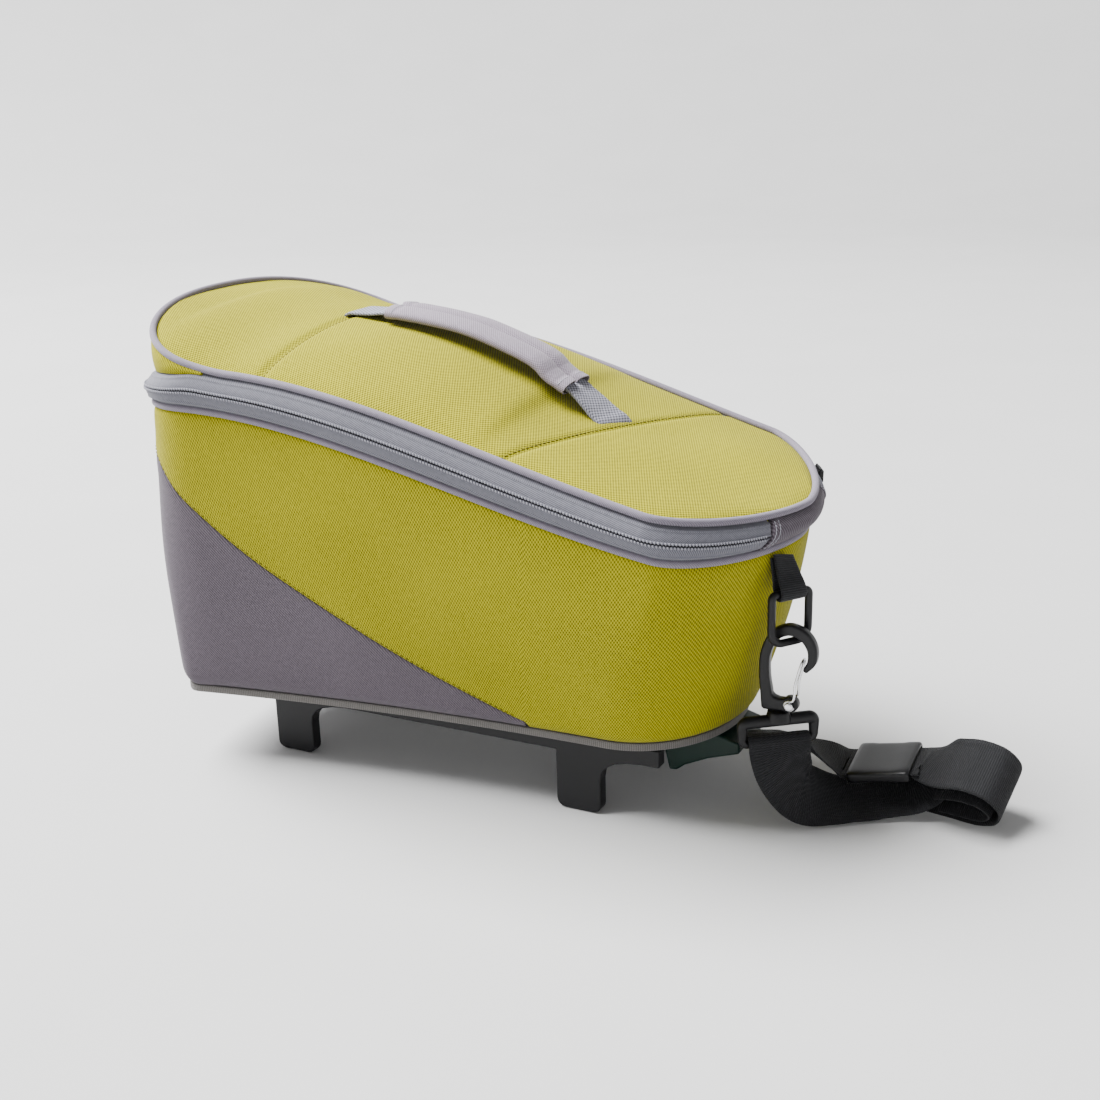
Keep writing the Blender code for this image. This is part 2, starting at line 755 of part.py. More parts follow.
def build_adapter():
    """Moulded rack adapter: plate, two side rails with legs, and the hinged release lever on its pin."""
    top = CLEARANCE_HEIGHT - GAP
    rail_low = top - RAIL_HEIGHT
    half = ADAPTER_WIDTH / 2

    def leg(left):
        right = left + LEG_WIDTH
        return [(left, rail_low), (left, 0.0), (right, 0.0), (right, rail_low - GUSSET_DROP * 1.6),
                (right + GUSSET_RUN * 0.10, rail_low - GUSSET_DROP * 0.85),
                (right + GUSSET_RUN * 0.40, rail_low - GUSSET_DROP * 0.45), (right + GUSSET_RUN, rail_low)]

    outline = [(ADAPTER_REAR, top)] + leg(ADAPTER_REAR)[1:] + leg(FRONT_LEG_X)
    outline += [(ADAPTER_FRONT, rail_low), (ADAPTER_FRONT, top)]
    for name, side in (("adapter_rail_near", -1), ("adapter_rail_far", 1)):
        low, high = sorted((side * half, side * (half - RAIL_THICKNESS)))
        add_object(name, extrude_outline(outline, low, high), "black_plastic")

    inner = half - RAIL_THICKNESS - GAP
    plate_front = ADAPTER_FRONT - PLATE_NOSE_SETBACK
    plate = [(ADAPTER_REAR, top - PLATE_THICKNESS), (plate_front, top - PLATE_THICKNESS), (plate_front, top),
             (ADAPTER_REAR, top)]
    add_object("adapter_plate", extrude_outline(plate, -inner, inner), "black_plastic")

    pin_x = ADAPTER_FRONT - LEVER_PIN_SETBACK
    pin_z = top - LEVER_PIN_DROP
    rod("lever_pin", Vector((pin_x, -inner, pin_z)), Vector((pin_x, inner, pin_z)), LEVER_PIN_RADIUS, "steel", 12)
    blade = [(pin_x - 4.5 * MM, top - 2.2 * MM), (pin_x - 4.5 * MM, pin_z - 5 * MM),
             (pin_x - 1 * MM, pin_z - LEVER_DROP), (pin_x + 8 * MM, pin_z - LEVER_DROP * 0.80),
             (pin_x + LEVER_REACH, pin_z - 5 * MM), (pin_x + LEVER_REACH, pin_z + 1 * MM),
             (pin_x + LEVER_REACH * 0.7, top - 1.5 * MM)]
    lever = add_object("release_lever", extrude_outline(blade, -LEVER_WIDTH / 2, LEVER_WIDTH / 2),
                       "green_plastic", (pin_x, 0, pin_z))
    bore = rod("lever_bore", Vector((pin_x, -LEVER_WIDTH, pin_z)), Vector((pin_x, LEVER_WIDTH, pin_z)),
               LEVER_PIN_RADIUS + PIN_CLEARANCE, "steel", 12)
    cut(lever, bore)


def rounded_rectangle(width, height, top_corner, low_corner, arc_steps=4):
    """Closed outline with round corners, in its own two directions."""
    points = []
    for cx, cy, turn, corner in ((1, 1, 0, top_corner), (-1, 1, 90, top_corner),
                                 (-1, -1, 180, low_corner), (1, -1, 270, low_corner)):
        for k in range(arc_steps + 1):
            angle = math.radians(turn + 90 * k / arc_steps)
            points.append((cx * (width / 2 - corner) + corner * math.cos(angle),
                           cy * (height / 2 - corner) + corner * math.sin(angle)))
    return points


def facing(yaw):
    """Width direction and outward direction of a hanging piece turned from +X towards the near side."""
    return Vector((math.sin(yaw), math.cos(yaw), 0)), Vector((math.cos(yaw), -math.sin(yaw), 0))


def loop_root():
    """Wall point under the lower piping, the point below it where the loop's back ply ends, and outward."""
    station = -find_station(lambda s: RIM.half_width(station_share(s)) - abs(LOOP_Y))
    root = wall_point(station, 1.0)
    sewn_height = 1 - LOOP_END_DROP / (root.z - WALL_FOOT_Z)
    return root, wall_point(station, sewn_height), RIM.normal(station)


def ring_bars():
    """Middles of the ring's upper and lower bars."""
    root, _, _ = loop_root()
    _, out = facing(RING_YAW)
    upper = root + out * RING_FORWARD - Vector((0, 0, RING_DROP + RING_WIRE))
    return upper, upper - Vector((0, 0, RING_HEIGHT - 2 * RING_WIRE))


def hook_foot():
    """Underside of the hook below the bar that its crown hangs on."""
    _, bar = ring_bars()
    _, height, thickness = HOOK_LINE[HOOK_CROWN_ROW]
    underside = height * HOOK_HEIGHT - thickness * HOOK_THICKNESS / 2
    return bar + Vector((0, 0, RING_WIRE + 5 * GAP - underside))


def frame_centre():
    across, _ = facing(HOOK_YAW)
    neck = hook_foot() + across * (RIVET_ACROSS + LUG_RADIUS * 0.5 - HOOK_FOOT_WIDTH / 2)
    drop = GAP + NECK_HEIGHT + FRAME_TOP_WIRE + FRAME_HEIGHT / 2 - FRAME_WIRE
    return neck - Vector((0, 0, drop))


def build_ring():
    """Webbing loop under the piping with its two plies round the ring's upper bar, and the ring."""
    _, sewn, outward = loop_root()
    bar, lower = ring_bars()
    across, out = facing(RING_YAW)
    radius = RING_WIRE + GAP + LOOP_WEB_THICKNESS / 2
    root_across = Vector((-outward.y, outward.x, 0))
    ply = LOOP_WEB_THICKNESS + LOOP_PLY_GAP
    back_end = sewn + outward * (LOOP_WEB_THICKNESS / 2 + GAP)
    front_end = back_end + outward * ply + Vector((0, 0, LOOP_END_DROP / 2))
    turn = [bar + out * radius * math.cos(a) + Vector((0, 0, radius * math.sin(a)))
            for a in np.radians(np.linspace(30, -150, 10))]
    path = [front_end, front_end.lerp(turn[0], 0.5)] + turn + [turn[-1].lerp(back_end, 0.5), back_end]
    reach = [0.0, 0.5] + [1.0] * len(turn) + [0.5, 0.0]
    sides = [root_across.lerp(across, share) for share in reach]
    webbing = sweep(path, sides, flat_profile(LOOP_WEB_WIDTH, LOOP_WEB_THICKNESS))
    add_object("ring_loop_webbing", webbing, "black_webbing")

    outline = rounded_rectangle(RING_WIDTH - 2 * RING_WIRE, RING_HEIGHT - 2 * RING_WIRE,
                                RING_TOP_CORNER, RING_LOWER_CORNER)
    middle = (bar + lower) / 2
    path = [middle + across * a + Vector((0, 0, b)) for a, b in outline]
    add_object("strap_ring", sweep(path, [out] * len(path), round_profile(RING_WIRE, 8), True),
               "black_plastic", sharp_angle=60)


def hook_outline():
    """Hook body seen square on: across and up from the middle of its foot."""
    line = smooth([Vector((a * HOOK_WIDTH, z * HOOK_HEIGHT, t * HOOK_THICKNESS / 2)) for a, z, t in HOOK_LINE], 3)
    inner, outer = [], []
    for before, here, after in zip([line[0]] + line, line, line[1:] + [line[-1]]):
        along = Vector((after.x - before.x, after.y - before.y)).normalized()
        inner.append((here.x + along.y * here.z, here.y - along.x * here.z))
        outer.append((here.x - along.y * here.z, here.y + along.x * here.z))
    right = RIVET_ACROSS + LUG_RADIUS * 0.5
    left = right - HOOK_FOOT_WIDTH
    ease = HOOK_FOOT_HEIGHT * 0.15
    foot = [(left, ease), (left + ease, 0), (right - ease, 0)]
    lug = [(RIVET_ACROSS + LUG_RADIUS * math.cos(a), RIVET_RISE + LUG_RADIUS * math.sin(a))
           for a in np.radians(np.linspace(-50, 140, 10))]
    floor = [(inner[0][0] + HOOK_FOOT_WIDTH * 0.22, HOOK_FOOT_HEIGHT * 0.88),
             (inner[0][0] + HOOK_FOOT_WIDTH * 0.07, HOOK_FOOT_HEIGHT * 0.98)]
    return foot + lug + floor + inner + list(reversed(outer))


def build_hook():
    """Snap hook body on the ring, with its rivet and sprung wire gate."""
    foot = hook_foot()
    across, out = facing(HOOK_YAW)
    up = Vector((0, 0, 1))
    half = HOOK_THICKNESS / 2
    shape = hook_outline()
    rings = [[foot + across * a + up * b + out * side for a, b in shape] for side in (-half, half)]
    hook = add_object("snap_hook", loft(rings, False), "black_plastic")
    pivot = foot + across * RIVET_ACROSS + up * RIVET_RISE
    reach = half + 2 * GATE_WIRE + 3 * GAP
    bore = rod("rivet_bore", pivot - out * 2 * reach, pivot + out * 2 * reach, RIVET_RADIUS + PIN_CLEARANCE,
               "steel", 16)
    cut(hook, bore)

    stations = ((-reach - 0.8 * MM, 1.6), (-reach, 1.7), (-reach, 1.0), (reach, 1.0), (reach, 1.7),
                (reach + 0.8 * MM, 1.6))
    rings = []
    for along, swell in stations:
        rings.append([pivot + out * along + across * a + up * b
                      for a, b in round_profile(RIVET_RADIUS * swell, 14)])
    add_object("gate_rivet", loft(rings, False), "steel")

    nose = foot + across * HOOK_LINE[-2][0] * HOOK_WIDTH + up * HOOK_LINE[-2][1] * HOOK_HEIGHT
    tip = pivot + (nose - across * HOOK_THICKNESS * 0.75 - pivot).normalized() * GATE_LENGTH
    lean = (tip - pivot).normalized()
    side = half + GATE_WIRE + GAP
    eye = RIVET_RADIUS + GAP + GATE_WIRE
    start = pivot + lean * eye
    legs = [start + out * side, start.lerp(tip, 0.5) + out * side, tip + out * side * 0.9,
            tip + out * side * 0.6 + lean * 0.5 * MM, tip - out * side * 0.6 + lean * 0.5 * MM,
            tip - out * side * 0.9, start.lerp(tip, 0.5) - out * side, start - out * side]
    gate = add_object("hook_gate", sweep(legs, [lean.cross(out)] * len(legs), round_profile(GATE_WIRE, 6)),
                      "steel", pivot, 60)
    for name, offset in (("gate_eye_near", side), ("gate_eye_far", -side)):
        ring = [pivot + out * offset + across * a + up * b for a, b in round_profile(eye, 14)]
        join(gate, add_object(name, sweep(ring, [out] * len(ring), round_profile(GATE_WIRE, 6), True), "steel"))


def build_frame():
    """Frame under the hook: a thicker upper bar with the swivel neck, and the bar that carries the strap."""
    centre = frame_centre()
    across, out = facing(FRAME_YAW)
    outline = rounded_rectangle(FRAME_WIDTH - 2 * FRAME_WIRE, FRAME_HEIGHT - 2 * FRAME_WIRE,
                                FRAME_CORNER, FRAME_CORNER)
    path = [centre + across * a + Vector((0, 0, b)) for a, b in outline]
    highest = max(b for _, b in outline)
    radii = [FRAME_TOP_WIRE if b > 0.6 * highest else FRAME_WIRE for _, b in outline]
    frame = add_object("strap_frame", sweep(path, [out] * len(path), lambda i: round_profile(radii[i], 8), True),
                       "black_plastic", sharp_angle=60)
    upper = centre + Vector((0, 0, highest))
    neck = rod("frame_neck", upper, upper + Vector((0, 0, FRAME_TOP_WIRE + NECK_HEIGHT)), NECK_RADIUS,
               "black_plastic", 14)
    join(frame, neck)


def width_direction(turn, rise):
    """Unit vector from its turn in plan and its rise, both in degrees."""
    t, r = math.radians(turn), math.radians(rise)
    return Vector((math.cos(t) * math.cos(r), math.sin(t) * math.cos(r), math.sin(r)))


def roll_points(rows):
    """Strap middle along a turn of the roll, in a plane leaned back by the roll's rise."""
    along = Vector((math.cos(ROLL_YAW), math.sin(ROLL_YAW), 0))
    axis = width_direction(math.degrees(ROLL_YAW) + 90, math.degrees(ROLL_RISE))
    up = along.cross(axis)
    corner = Vector((*ROLL_CORNER, GAP)) + axis * STRAP_WIDTH / 2
    return [corner + along * a * ROLL_LENGTH + up * b * ROLL_HEIGHT for a, b in rows], axis


def route(rows, bar):
    """Points and width directions of a route table, moved along with the frame's lower bar."""
    moved = bar - Vector(BAR_DRAWN) * MM
    points = [Vector((x, y, z)) * MM + moved * follow for x, y, z, _, _, follow in rows]
    return points, [width_direction(turn, rise) for _, _, _, turn, rise, _ in rows]


def strap_line():
    """Points and widths of the whole strap: inner turn, front strand, frame, back strand, outer turn."""
    across, out = facing(FRAME_YAW)
    bar = frame_centre() - Vector((0, 0, FRAME_HEIGHT / 2 - FRAME_WIRE))
    radius = FRAME_WIRE + 1.3 * GAP + STRAP_THICKNESS / 2
    inner, axis = roll_points(INNER_TURN)
    front, front_widths = route(FRONT_ROUTE, bar)
    over = [bar + out * radius * math.cos(a) + Vector((0, 0, radius * math.sin(a)))
            for a in np.radians((-15, 20, 60, 100, 140, 175))]
    back, back_widths = route(BACK_ROUTE, bar)
    held, held_widths = route(ADJUSTER_ENDS, bar)
    outer, _ = roll_points(OUTER_TURN)
    points = inner + front + over + back + held + outer
    widths = [axis] * len(inner) + front_widths + [across] * len(over) + back_widths + held_widths
    widths += [-axis] * len(outer)
    held_at = len(inner) + len(front) + len(over) + len(back)
    return points, widths, held_at


def build_strap():
    """One strap from the inner turn over the frame's bar and back to the outer turn, and its adjuster."""
    points, widths, held_at = strap_line()
    steps = 3
    path = smooth(points, steps)
    sides = smooth(widths, steps)
    first, second = points[held_at], points[held_at + 1]
    side = widths[held_at]
    for k in range(steps + 1):
        path[held_at * steps + k] = first.lerp(second, k / steps)
        sides[held_at * steps + k] = side
    add_object("shoulder_strap", sweep(path, sides, rectangle(STRAP_WIDTH, STRAP_THICKNESS)), "black_webbing")

    along = (second - first).normalized()
    middle = (first + second) / 2
    start, end = middle - along * ADJUSTER_LENGTH / 2, middle + along * ADJUSTER_LENGTH / 2
    slot = rectangle(STRAP_WIDTH + 6 * GAP, STRAP_THICKNESS + 6 * GAP)
    body = rectangle(ADJUSTER_WIDTH, ADJUSTER_THICKNESS)
    add_object("strap_adjuster", sleeve([start, end], side, body, slot), "black_plastic")


def rectangle(width, thickness):
    return [(-width / 2, -thickness / 2), (width / 2, -thickness / 2), (width / 2, thickness / 2),
            (-width / 2, thickness / 2)]


def sleeve(path, side, outer, inner):
    """Hollow sleeve along a path between an outer and an inner profile of equal counts."""
    bm = bmesh.new()
    rows = []
    for i, point in enumerate(path):
        along = (path[min(i + 1, len(path) - 1)] - path[max(i - 1, 0)]).normalized()
        first = (side - along * side.dot(along)).normalized()
        second = along.cross(first)
        rows.append([[bm.verts.new(point + first * a + second * b) for a, b in shape] for shape in (outer, inner)])
    count = len(outer)
    for (outer_a, inner_a), (outer_b, inner_b) in zip(rows, rows[1:]):
        for k in range(count):
            n = (k + 1) % count
            bm.faces.new((outer_a[k], outer_a[n], outer_b[n], outer_b[k]))
            bm.faces.new((inner_a[n], inner_a[k], inner_b[k], inner_b[n]))
    for outer_ring, inner_ring in (rows[0], rows[-1]):
        for k in range(count):
            n = (k + 1) % count
            bm.faces.new((outer_ring[k], outer_ring[n], inner_ring[n], inner_ring[k]))
    return bm


def centre_on_floor():
    """Move everything along X and Y so that the whole object is centred on the origin."""
    bpy.context.view_layer.update()
    graph = bpy.context.evaluated_depsgraph_get()
    corners = []
    for piece in bpy.data.objects:
        if not piece.hide_render:
            shown = piece.evaluated_get(graph)
            corners += [shown.matrix_world @ Vector(corner) for corner in shown.bound_box]
    for axis in (0, 1):
        values = [corner[axis] for corner in corners]
        for piece in bpy.data.objects:
            piece.location[axis] -= (min(values) + max(values)) / 2


def main():
    for old in list(bpy.data.objects):
        bpy.data.objects.remove(old, do_unlink=True)
    build_tub()
    build_band()
    build_lid()
    build_handle()
    build_adapter()
    build_ring()
    build_hook()
    build_frame()
    build_strap()
    centre_on_floor()


main()
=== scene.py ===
"""Looks of the bicycle trunk bag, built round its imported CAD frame.

Metres, +Z up, in the CAD model's own frame: +X runs to the narrow end and -Y is the near long side.
Stations run round the bag: 0 is the middle of the wide end, negative is the near side, 1 is the nose.
"""

import logging
import math
from dataclasses import dataclass
from enum import Enum
from typing import List, Optional, Sequence, Tuple

import bpy
import numpy as np
from mathutils import Matrix, Vector

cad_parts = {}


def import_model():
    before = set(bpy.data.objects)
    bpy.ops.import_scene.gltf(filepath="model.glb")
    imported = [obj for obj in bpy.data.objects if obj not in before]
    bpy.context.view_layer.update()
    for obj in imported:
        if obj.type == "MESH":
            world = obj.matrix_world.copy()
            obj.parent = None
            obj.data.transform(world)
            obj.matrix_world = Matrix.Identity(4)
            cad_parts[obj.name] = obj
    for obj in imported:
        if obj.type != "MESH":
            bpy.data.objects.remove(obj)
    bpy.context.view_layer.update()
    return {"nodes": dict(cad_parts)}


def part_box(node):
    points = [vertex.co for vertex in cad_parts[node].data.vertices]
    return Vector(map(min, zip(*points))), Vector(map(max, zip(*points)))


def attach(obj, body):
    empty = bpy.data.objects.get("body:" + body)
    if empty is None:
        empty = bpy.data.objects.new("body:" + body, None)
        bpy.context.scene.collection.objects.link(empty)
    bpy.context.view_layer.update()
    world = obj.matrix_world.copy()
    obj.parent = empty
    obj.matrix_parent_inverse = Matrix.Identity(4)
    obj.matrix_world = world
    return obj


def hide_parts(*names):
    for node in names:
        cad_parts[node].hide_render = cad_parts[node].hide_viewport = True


LOG = logging.getLogger("trunk_bag")
MM = 0.001
GAP = 0.35 * MM
UP = np.array([0.0, 0.0, 1.0])
ACROSS = np.array([0.0, 1.0, 0.0])
Colour = Tuple[float, float, float]


class Weave(Enum):
    """Ways that the yarns of a cloth cross."""

    CANVAS = "canvas"
    TWILL = "twill"
    HERRINGBONE = "herringbone"
    RIB = "rib"


class Body(Enum):
    """Rigid bodies of the frame that the pieces ride on."""

    BAG = "bag"
    GATE = "gate"
    LEVER = "lever"


# Surfaces
def unit(vectors: np.ndarray) -> np.ndarray:
    """Vectors scaled to length one along the last axis."""
    return vectors / np.maximum(np.linalg.norm(vectors, axis=-1, keepdims=True), 1e-12)


def smooth(points: np.ndarray, steps: int) -> np.ndarray:
    """Carry a smooth curve through points.

    Each stretch is the cubic Hermite h00 p0 + h01 p1 + (h10 t0 + h11 t1) length, and the slope t at a
    point weighs its two stretches by each other's length.

    Args:
        points: Points of the curve, one row each.
        steps: Number of steps to each stretch.

    Returns:
        The points of the curve, one row each.
    """
    points = np.asarray(points, float)
    spans = np.diff(points, axis=0)
    lengths = np.maximum(np.linalg.norm(spans, axis=1), 1e-9)[:, None]
    slopes = spans / lengths
    inner = (slopes[:-1] * lengths[1:] + slopes[1:] * lengths[:-1]) / (lengths[:-1] + lengths[1:])
    tangents = np.vstack([slopes[:1], inner, slopes[-1:]])
    u = (np.arange(steps) / steps)[None, :, None]
    curve = (points[:-1, None] * (2 * u ** 3 - 3 * u ** 2 + 1) + points[1:, None] * (3 * u ** 2 - 2 * u ** 3)
             + tangents[:-1, None] * lengths[:, None] * (u ** 3 - 2 * u ** 2 + u)
             + tangents[1:, None] * lengths[:, None] * (u ** 3 - u ** 2))
    return np.vstack([curve.reshape(-1, points.shape[1]), points[-1:]])


def between(low: np.ndarray, high: np.ndarray, share: np.ndarray) -> np.ndarray:
    """Points a share of the way from low to high."""
    return low + (high - low) * share[..., None]


def run_along(points: np.ndarray, axis: int) -> np.ndarray:
    """Length run along one axis of a grid of points, starting from zero."""
    steps = np.linalg.norm(np.diff(points, axis=axis), axis=-1)
    total = np.cumsum(steps, axis=axis)
    start = np.zeros_like(np.take(total, [0], axis=axis))
    return np.concatenate([start, total], axis=axis)


def read_at(points: np.ndarray, places: np.ndarray, *others: np.ndarray) -> List[np.ndarray]:
    """Read a curve, and values along it, at lengths along its run.

    Args:
        points: Points of the curve.
        places: Lengths from its start.
        others: Further rows of values along the same curve.

    Returns:
        The curve and the values at those places.
    """
    run = run_along(points, 0)
    return [np.stack([np.interp(places, run, rows[:, k]) for k in range(rows.shape[1])], 1)
            for rows in (points,) + others]


def even(points: np.ndarray, count: int, *others: np.ndarray) -> List[np.ndarray]:
    """Read a curve, and values along it, at count evenly spaced places."""
    return read_at(points, np.linspace(0, run_along(points, 0)[-1], count), *others)


def cloth_plane(along: np.ndarray, outer: np.ndarray) -> np.ndarray:
    """Cloth coordinates of a sheet: the run along it, given by column, and the run across it."""
    return np.stack([np.broadcast_to(along[:, None], outer.shape[:2]), run_along(outer, 1)], -1)


def sweep(path: np.ndarray, sides: np.ndarray, profile: np.ndarray, closed: bool = False) -> np.ndarray:
    """Carry a profile (a, b) along a path: point = path + a first + b (along x first).

    Args:
        path: Points of the path.
        sides: The profile's first direction at each point.
        profile: Rows of (a, b), or one such table for each point.
        closed: Whether the path ends where it starts.

    Returns:
        A grid of points, one row for each point of the path.
    """
    if closed:
        along = unit(np.roll(path, -1, 0) - np.roll(path, 1, 0))
    else:
        along = unit(np.gradient(path, axis=0))
    first = unit(sides - along * np.sum(sides * along, axis=1, keepdims=True))
    second = np.cross(along, first)
    shape = np.broadcast_to(profile, (len(path),) + np.shape(profile)[-2:])
    return path[:, None] + first[:, None] * shape[..., :1] + second[:, None] * shape[..., 1:]


def ring(radius: float, count: int) -> np.ndarray:
    """Circle (r cos t, r sin t) of count points."""
    turn = np.linspace(0, 2 * np.pi, count, endpoint=False)
    return np.stack([radius * np.cos(turn), radius * np.sin(turn)], 1)


def slab(width: float, thickness: float, count: int = 12) -> np.ndarray:
    """Strap section: flat faces between half-round edges, as a squeezed superellipse of 4 count points."""
    turn = np.linspace(0, 2 * np.pi, 4 * count, endpoint=False) + np.pi / (4 * count)
    wave = np.stack([np.cos(turn), np.sin(turn)], 1)
    return np.sign(wave) * np.abs(wave) ** (0.22, 0.45) * (width / 2, thickness / 2)


def add_piece(name: str, mesh: bpy.types.Mesh) -> bpy.types.Object:
    """Put a mesh into the scene as a piece."""
    piece = bpy.data.objects.new(name, mesh)
    bpy.context.scene.collection.objects.link(piece)
    return piece


def ribbed(path: np.ndarray, section: np.ndarray, pitch: float, depth: float) -> np.ndarray:
    """Webbing's section at each point of a path: its thickness times 1 + depth sin(2 pi run / pitch)."""
    rib = 1 + depth * np.sin(2 * np.pi * run_along(path, 0) / pitch)[:, None, None]
    return section[None] * np.concatenate([np.ones_like(rib), rib], 2)


def mesh_of(name: str, points: np.ndarray, uv: Optional[np.ndarray] = None, closed: bool = False,
            sharp: float = 45.0) -> bpy.types.Object:
    """Skin a grid of points whose rows are closed loops; an open grid gets end caps.

    Args:
        name: Name of the piece.
        points: Grid of points, a row for each loop.
        uv: Cloth coordinates in metres, with one more column than points, and one more row if closed.
        closed: Whether the last loop joins the first.
        sharp: Angle in degrees past which an edge is drawn sharp.

    Returns:
        The piece, with its faces pointing outwards.
    """
    rows, columns = points.shape[:2]
    last = rows if closed else rows - 1
    i, j = [k.ravel() for k in np.meshgrid(np.arange(last), np.arange(columns), indexing="ij")]
    i_next, j_next = (i + 1) % rows, (j + 1) % columns
    here, there = i * columns, i_next * columns
    faces = np.stack([here + j, here + j_next, there + j_next, there + j], 1)
    if uv is None:
        loop = np.concatenate([points, points[:, :1]], 1)
        loop = np.concatenate([loop, loop[:1]], 0) if closed else loop
        uv = np.stack([run_along(loop, 0), run_along(loop, 1)], -1)
    corners = np.stack([uv[i, j], uv[i, j + 1], uv[i + 1, j + 1], uv[i + 1, j]], 1)
    if not closed:
        k = np.arange(columns // 2 - 1)
        cap = np.stack([k, k + 1, columns - 2 - k, columns - 1 - k], 1)
        ends = [cap[:, ::-1], cap + (rows - 1) * columns]
        flat = uv[:, :-1].reshape(-1, 2)
        corners = np.concatenate([corners] + [flat[end] for end in ends])
        faces = np.concatenate([faces] + ends)
    flat_points = points.reshape(-1, 3)
    a, b, c, d = [flat_points[faces[:, n]] for n in range(4)]
    if np.sum(np.cross(b - a, c - a) * a) + np.sum(np.cross(c - a, d - a) * a) < 0:
        faces, corners = faces[:, ::-1], corners[:, ::-1]
    mesh = bpy.data.meshes.new(name)
    mesh.from_pydata(flat_points.tolist(), [], faces.tolist())
    layer = mesh.uv_layers.new(name="cloth")
    layer.uv.foreach_set("vector", np.ascontiguousarray(corners, float).ravel())
    mesh.shade_smooth()
    mesh.set_sharp_from_angle(angle=math.radians(sharp))
    return add_piece(name, mesh)


def wall(name: str, outer: np.ndarray, inward: np.ndarray, closed: bool = False,
         uv: Optional[np.ndarray] = None) -> bpy.types.Object:
    """Give a sheet of points a second face: inner = outer + inward, joined round every edge.

    Args:
        name: Name of the piece.
        outer: Grid of points of the outer face.
        inward: Vector from each outer point to its inner one.
        closed: Whether the last row joins the first.
        uv: Cloth coordinates of the outer face, with one more row if closed.

    Returns:
        The piece.
    """
    points = np.concatenate([outer, (outer + inward)[:, ::-1]], 1)
    if uv is not None:
        uv = np.concatenate([uv, uv[:, ::-1], uv[:, :1]], 1)
    return mesh_of(name, points, uv, closed)


def scatter(name: str, centres: np.ndarray, along: np.ndarray, outward: np.ndarray,
            size: Sequence[float]) -> bpy.types.Object:
    """Join many small rounded beads, such as stitches, into one mesh.

    A bead is a six-sided bar with pointed ends: rings of radius 1 at x = -waist and waist, tips at -1 and 1.

    Args:
        name: Name of the piece.
        centres: Middle of each bead.
        along: Direction of each bead.
        outward: Direction out of the cloth at each bead.
        size: Half length, half width and half height of a bead.

    Returns:
        The piece.
    """
    along = unit(along)
    outward = unit(outward - along * np.sum(along * outward, axis=1, keepdims=True))
    across = np.cross(outward, along)
    sides, waist = 6, 0.62
    last = 2 * sides + 1
    turn = np.arange(sides) * 2 * np.pi / sides
    circle = np.stack([np.zeros(sides), np.cos(turn), np.sin(turn)], 1)
    bead = np.vstack([[(-1, 0, 0)], circle + (-waist, 0, 0), circle + (waist, 0, 0), [(1, 0, 0)]]) * size
    points = (centres[:, None] + along[:, None] * bead[None, :, :1] + across[:, None] * bead[None, :, 1:2]
              + outward[:, None] * bead[None, :, 2:])
    k = np.arange(1, sides + 1)
    n = k % sides + 1
    start = np.stack([np.zeros(sides, int), n, k], 1)
    end = np.stack([np.full(sides, last), k + sides, n + sides], 1)
    bars = np.stack([k, n, n + sides, k + sides], 1)
    offset = (np.arange(len(centres)) * (last + 1))[:, None, None]
    faces: List[List[int]] = []
    for table in (start, end, bars):
        faces += (offset + table[None]).reshape(-1, table.shape[1]).tolist()
    mesh = bpy.data.meshes.new(name)
    mesh.from_pydata(points.reshape(-1, 3).tolist(), [], faces)
    mesh.shade_smooth()
    return add_piece(name, mesh)


def ripple(points: np.ndarray, waves: Sequence[Tuple[float, float, float, float]]) -> np.ndarray:
    """Sum of sines over space, for the slight unevenness of padding: sum of a sin(k . p + phase).

    Args:
        points: Grid of points.
        waves: Rows of (turns per metre along X, Y and Z, phase).

    Returns:
        A value from about -1 to 1 at each point.
    """
    total = np.zeros(points.shape[:-1])
    for x, y, z, phase in waves:
        total += np.sin(2 * np.pi * (points[..., 0] * x + points[..., 1] * y + points[..., 2] * z) + phase)
    return total / len(waves)


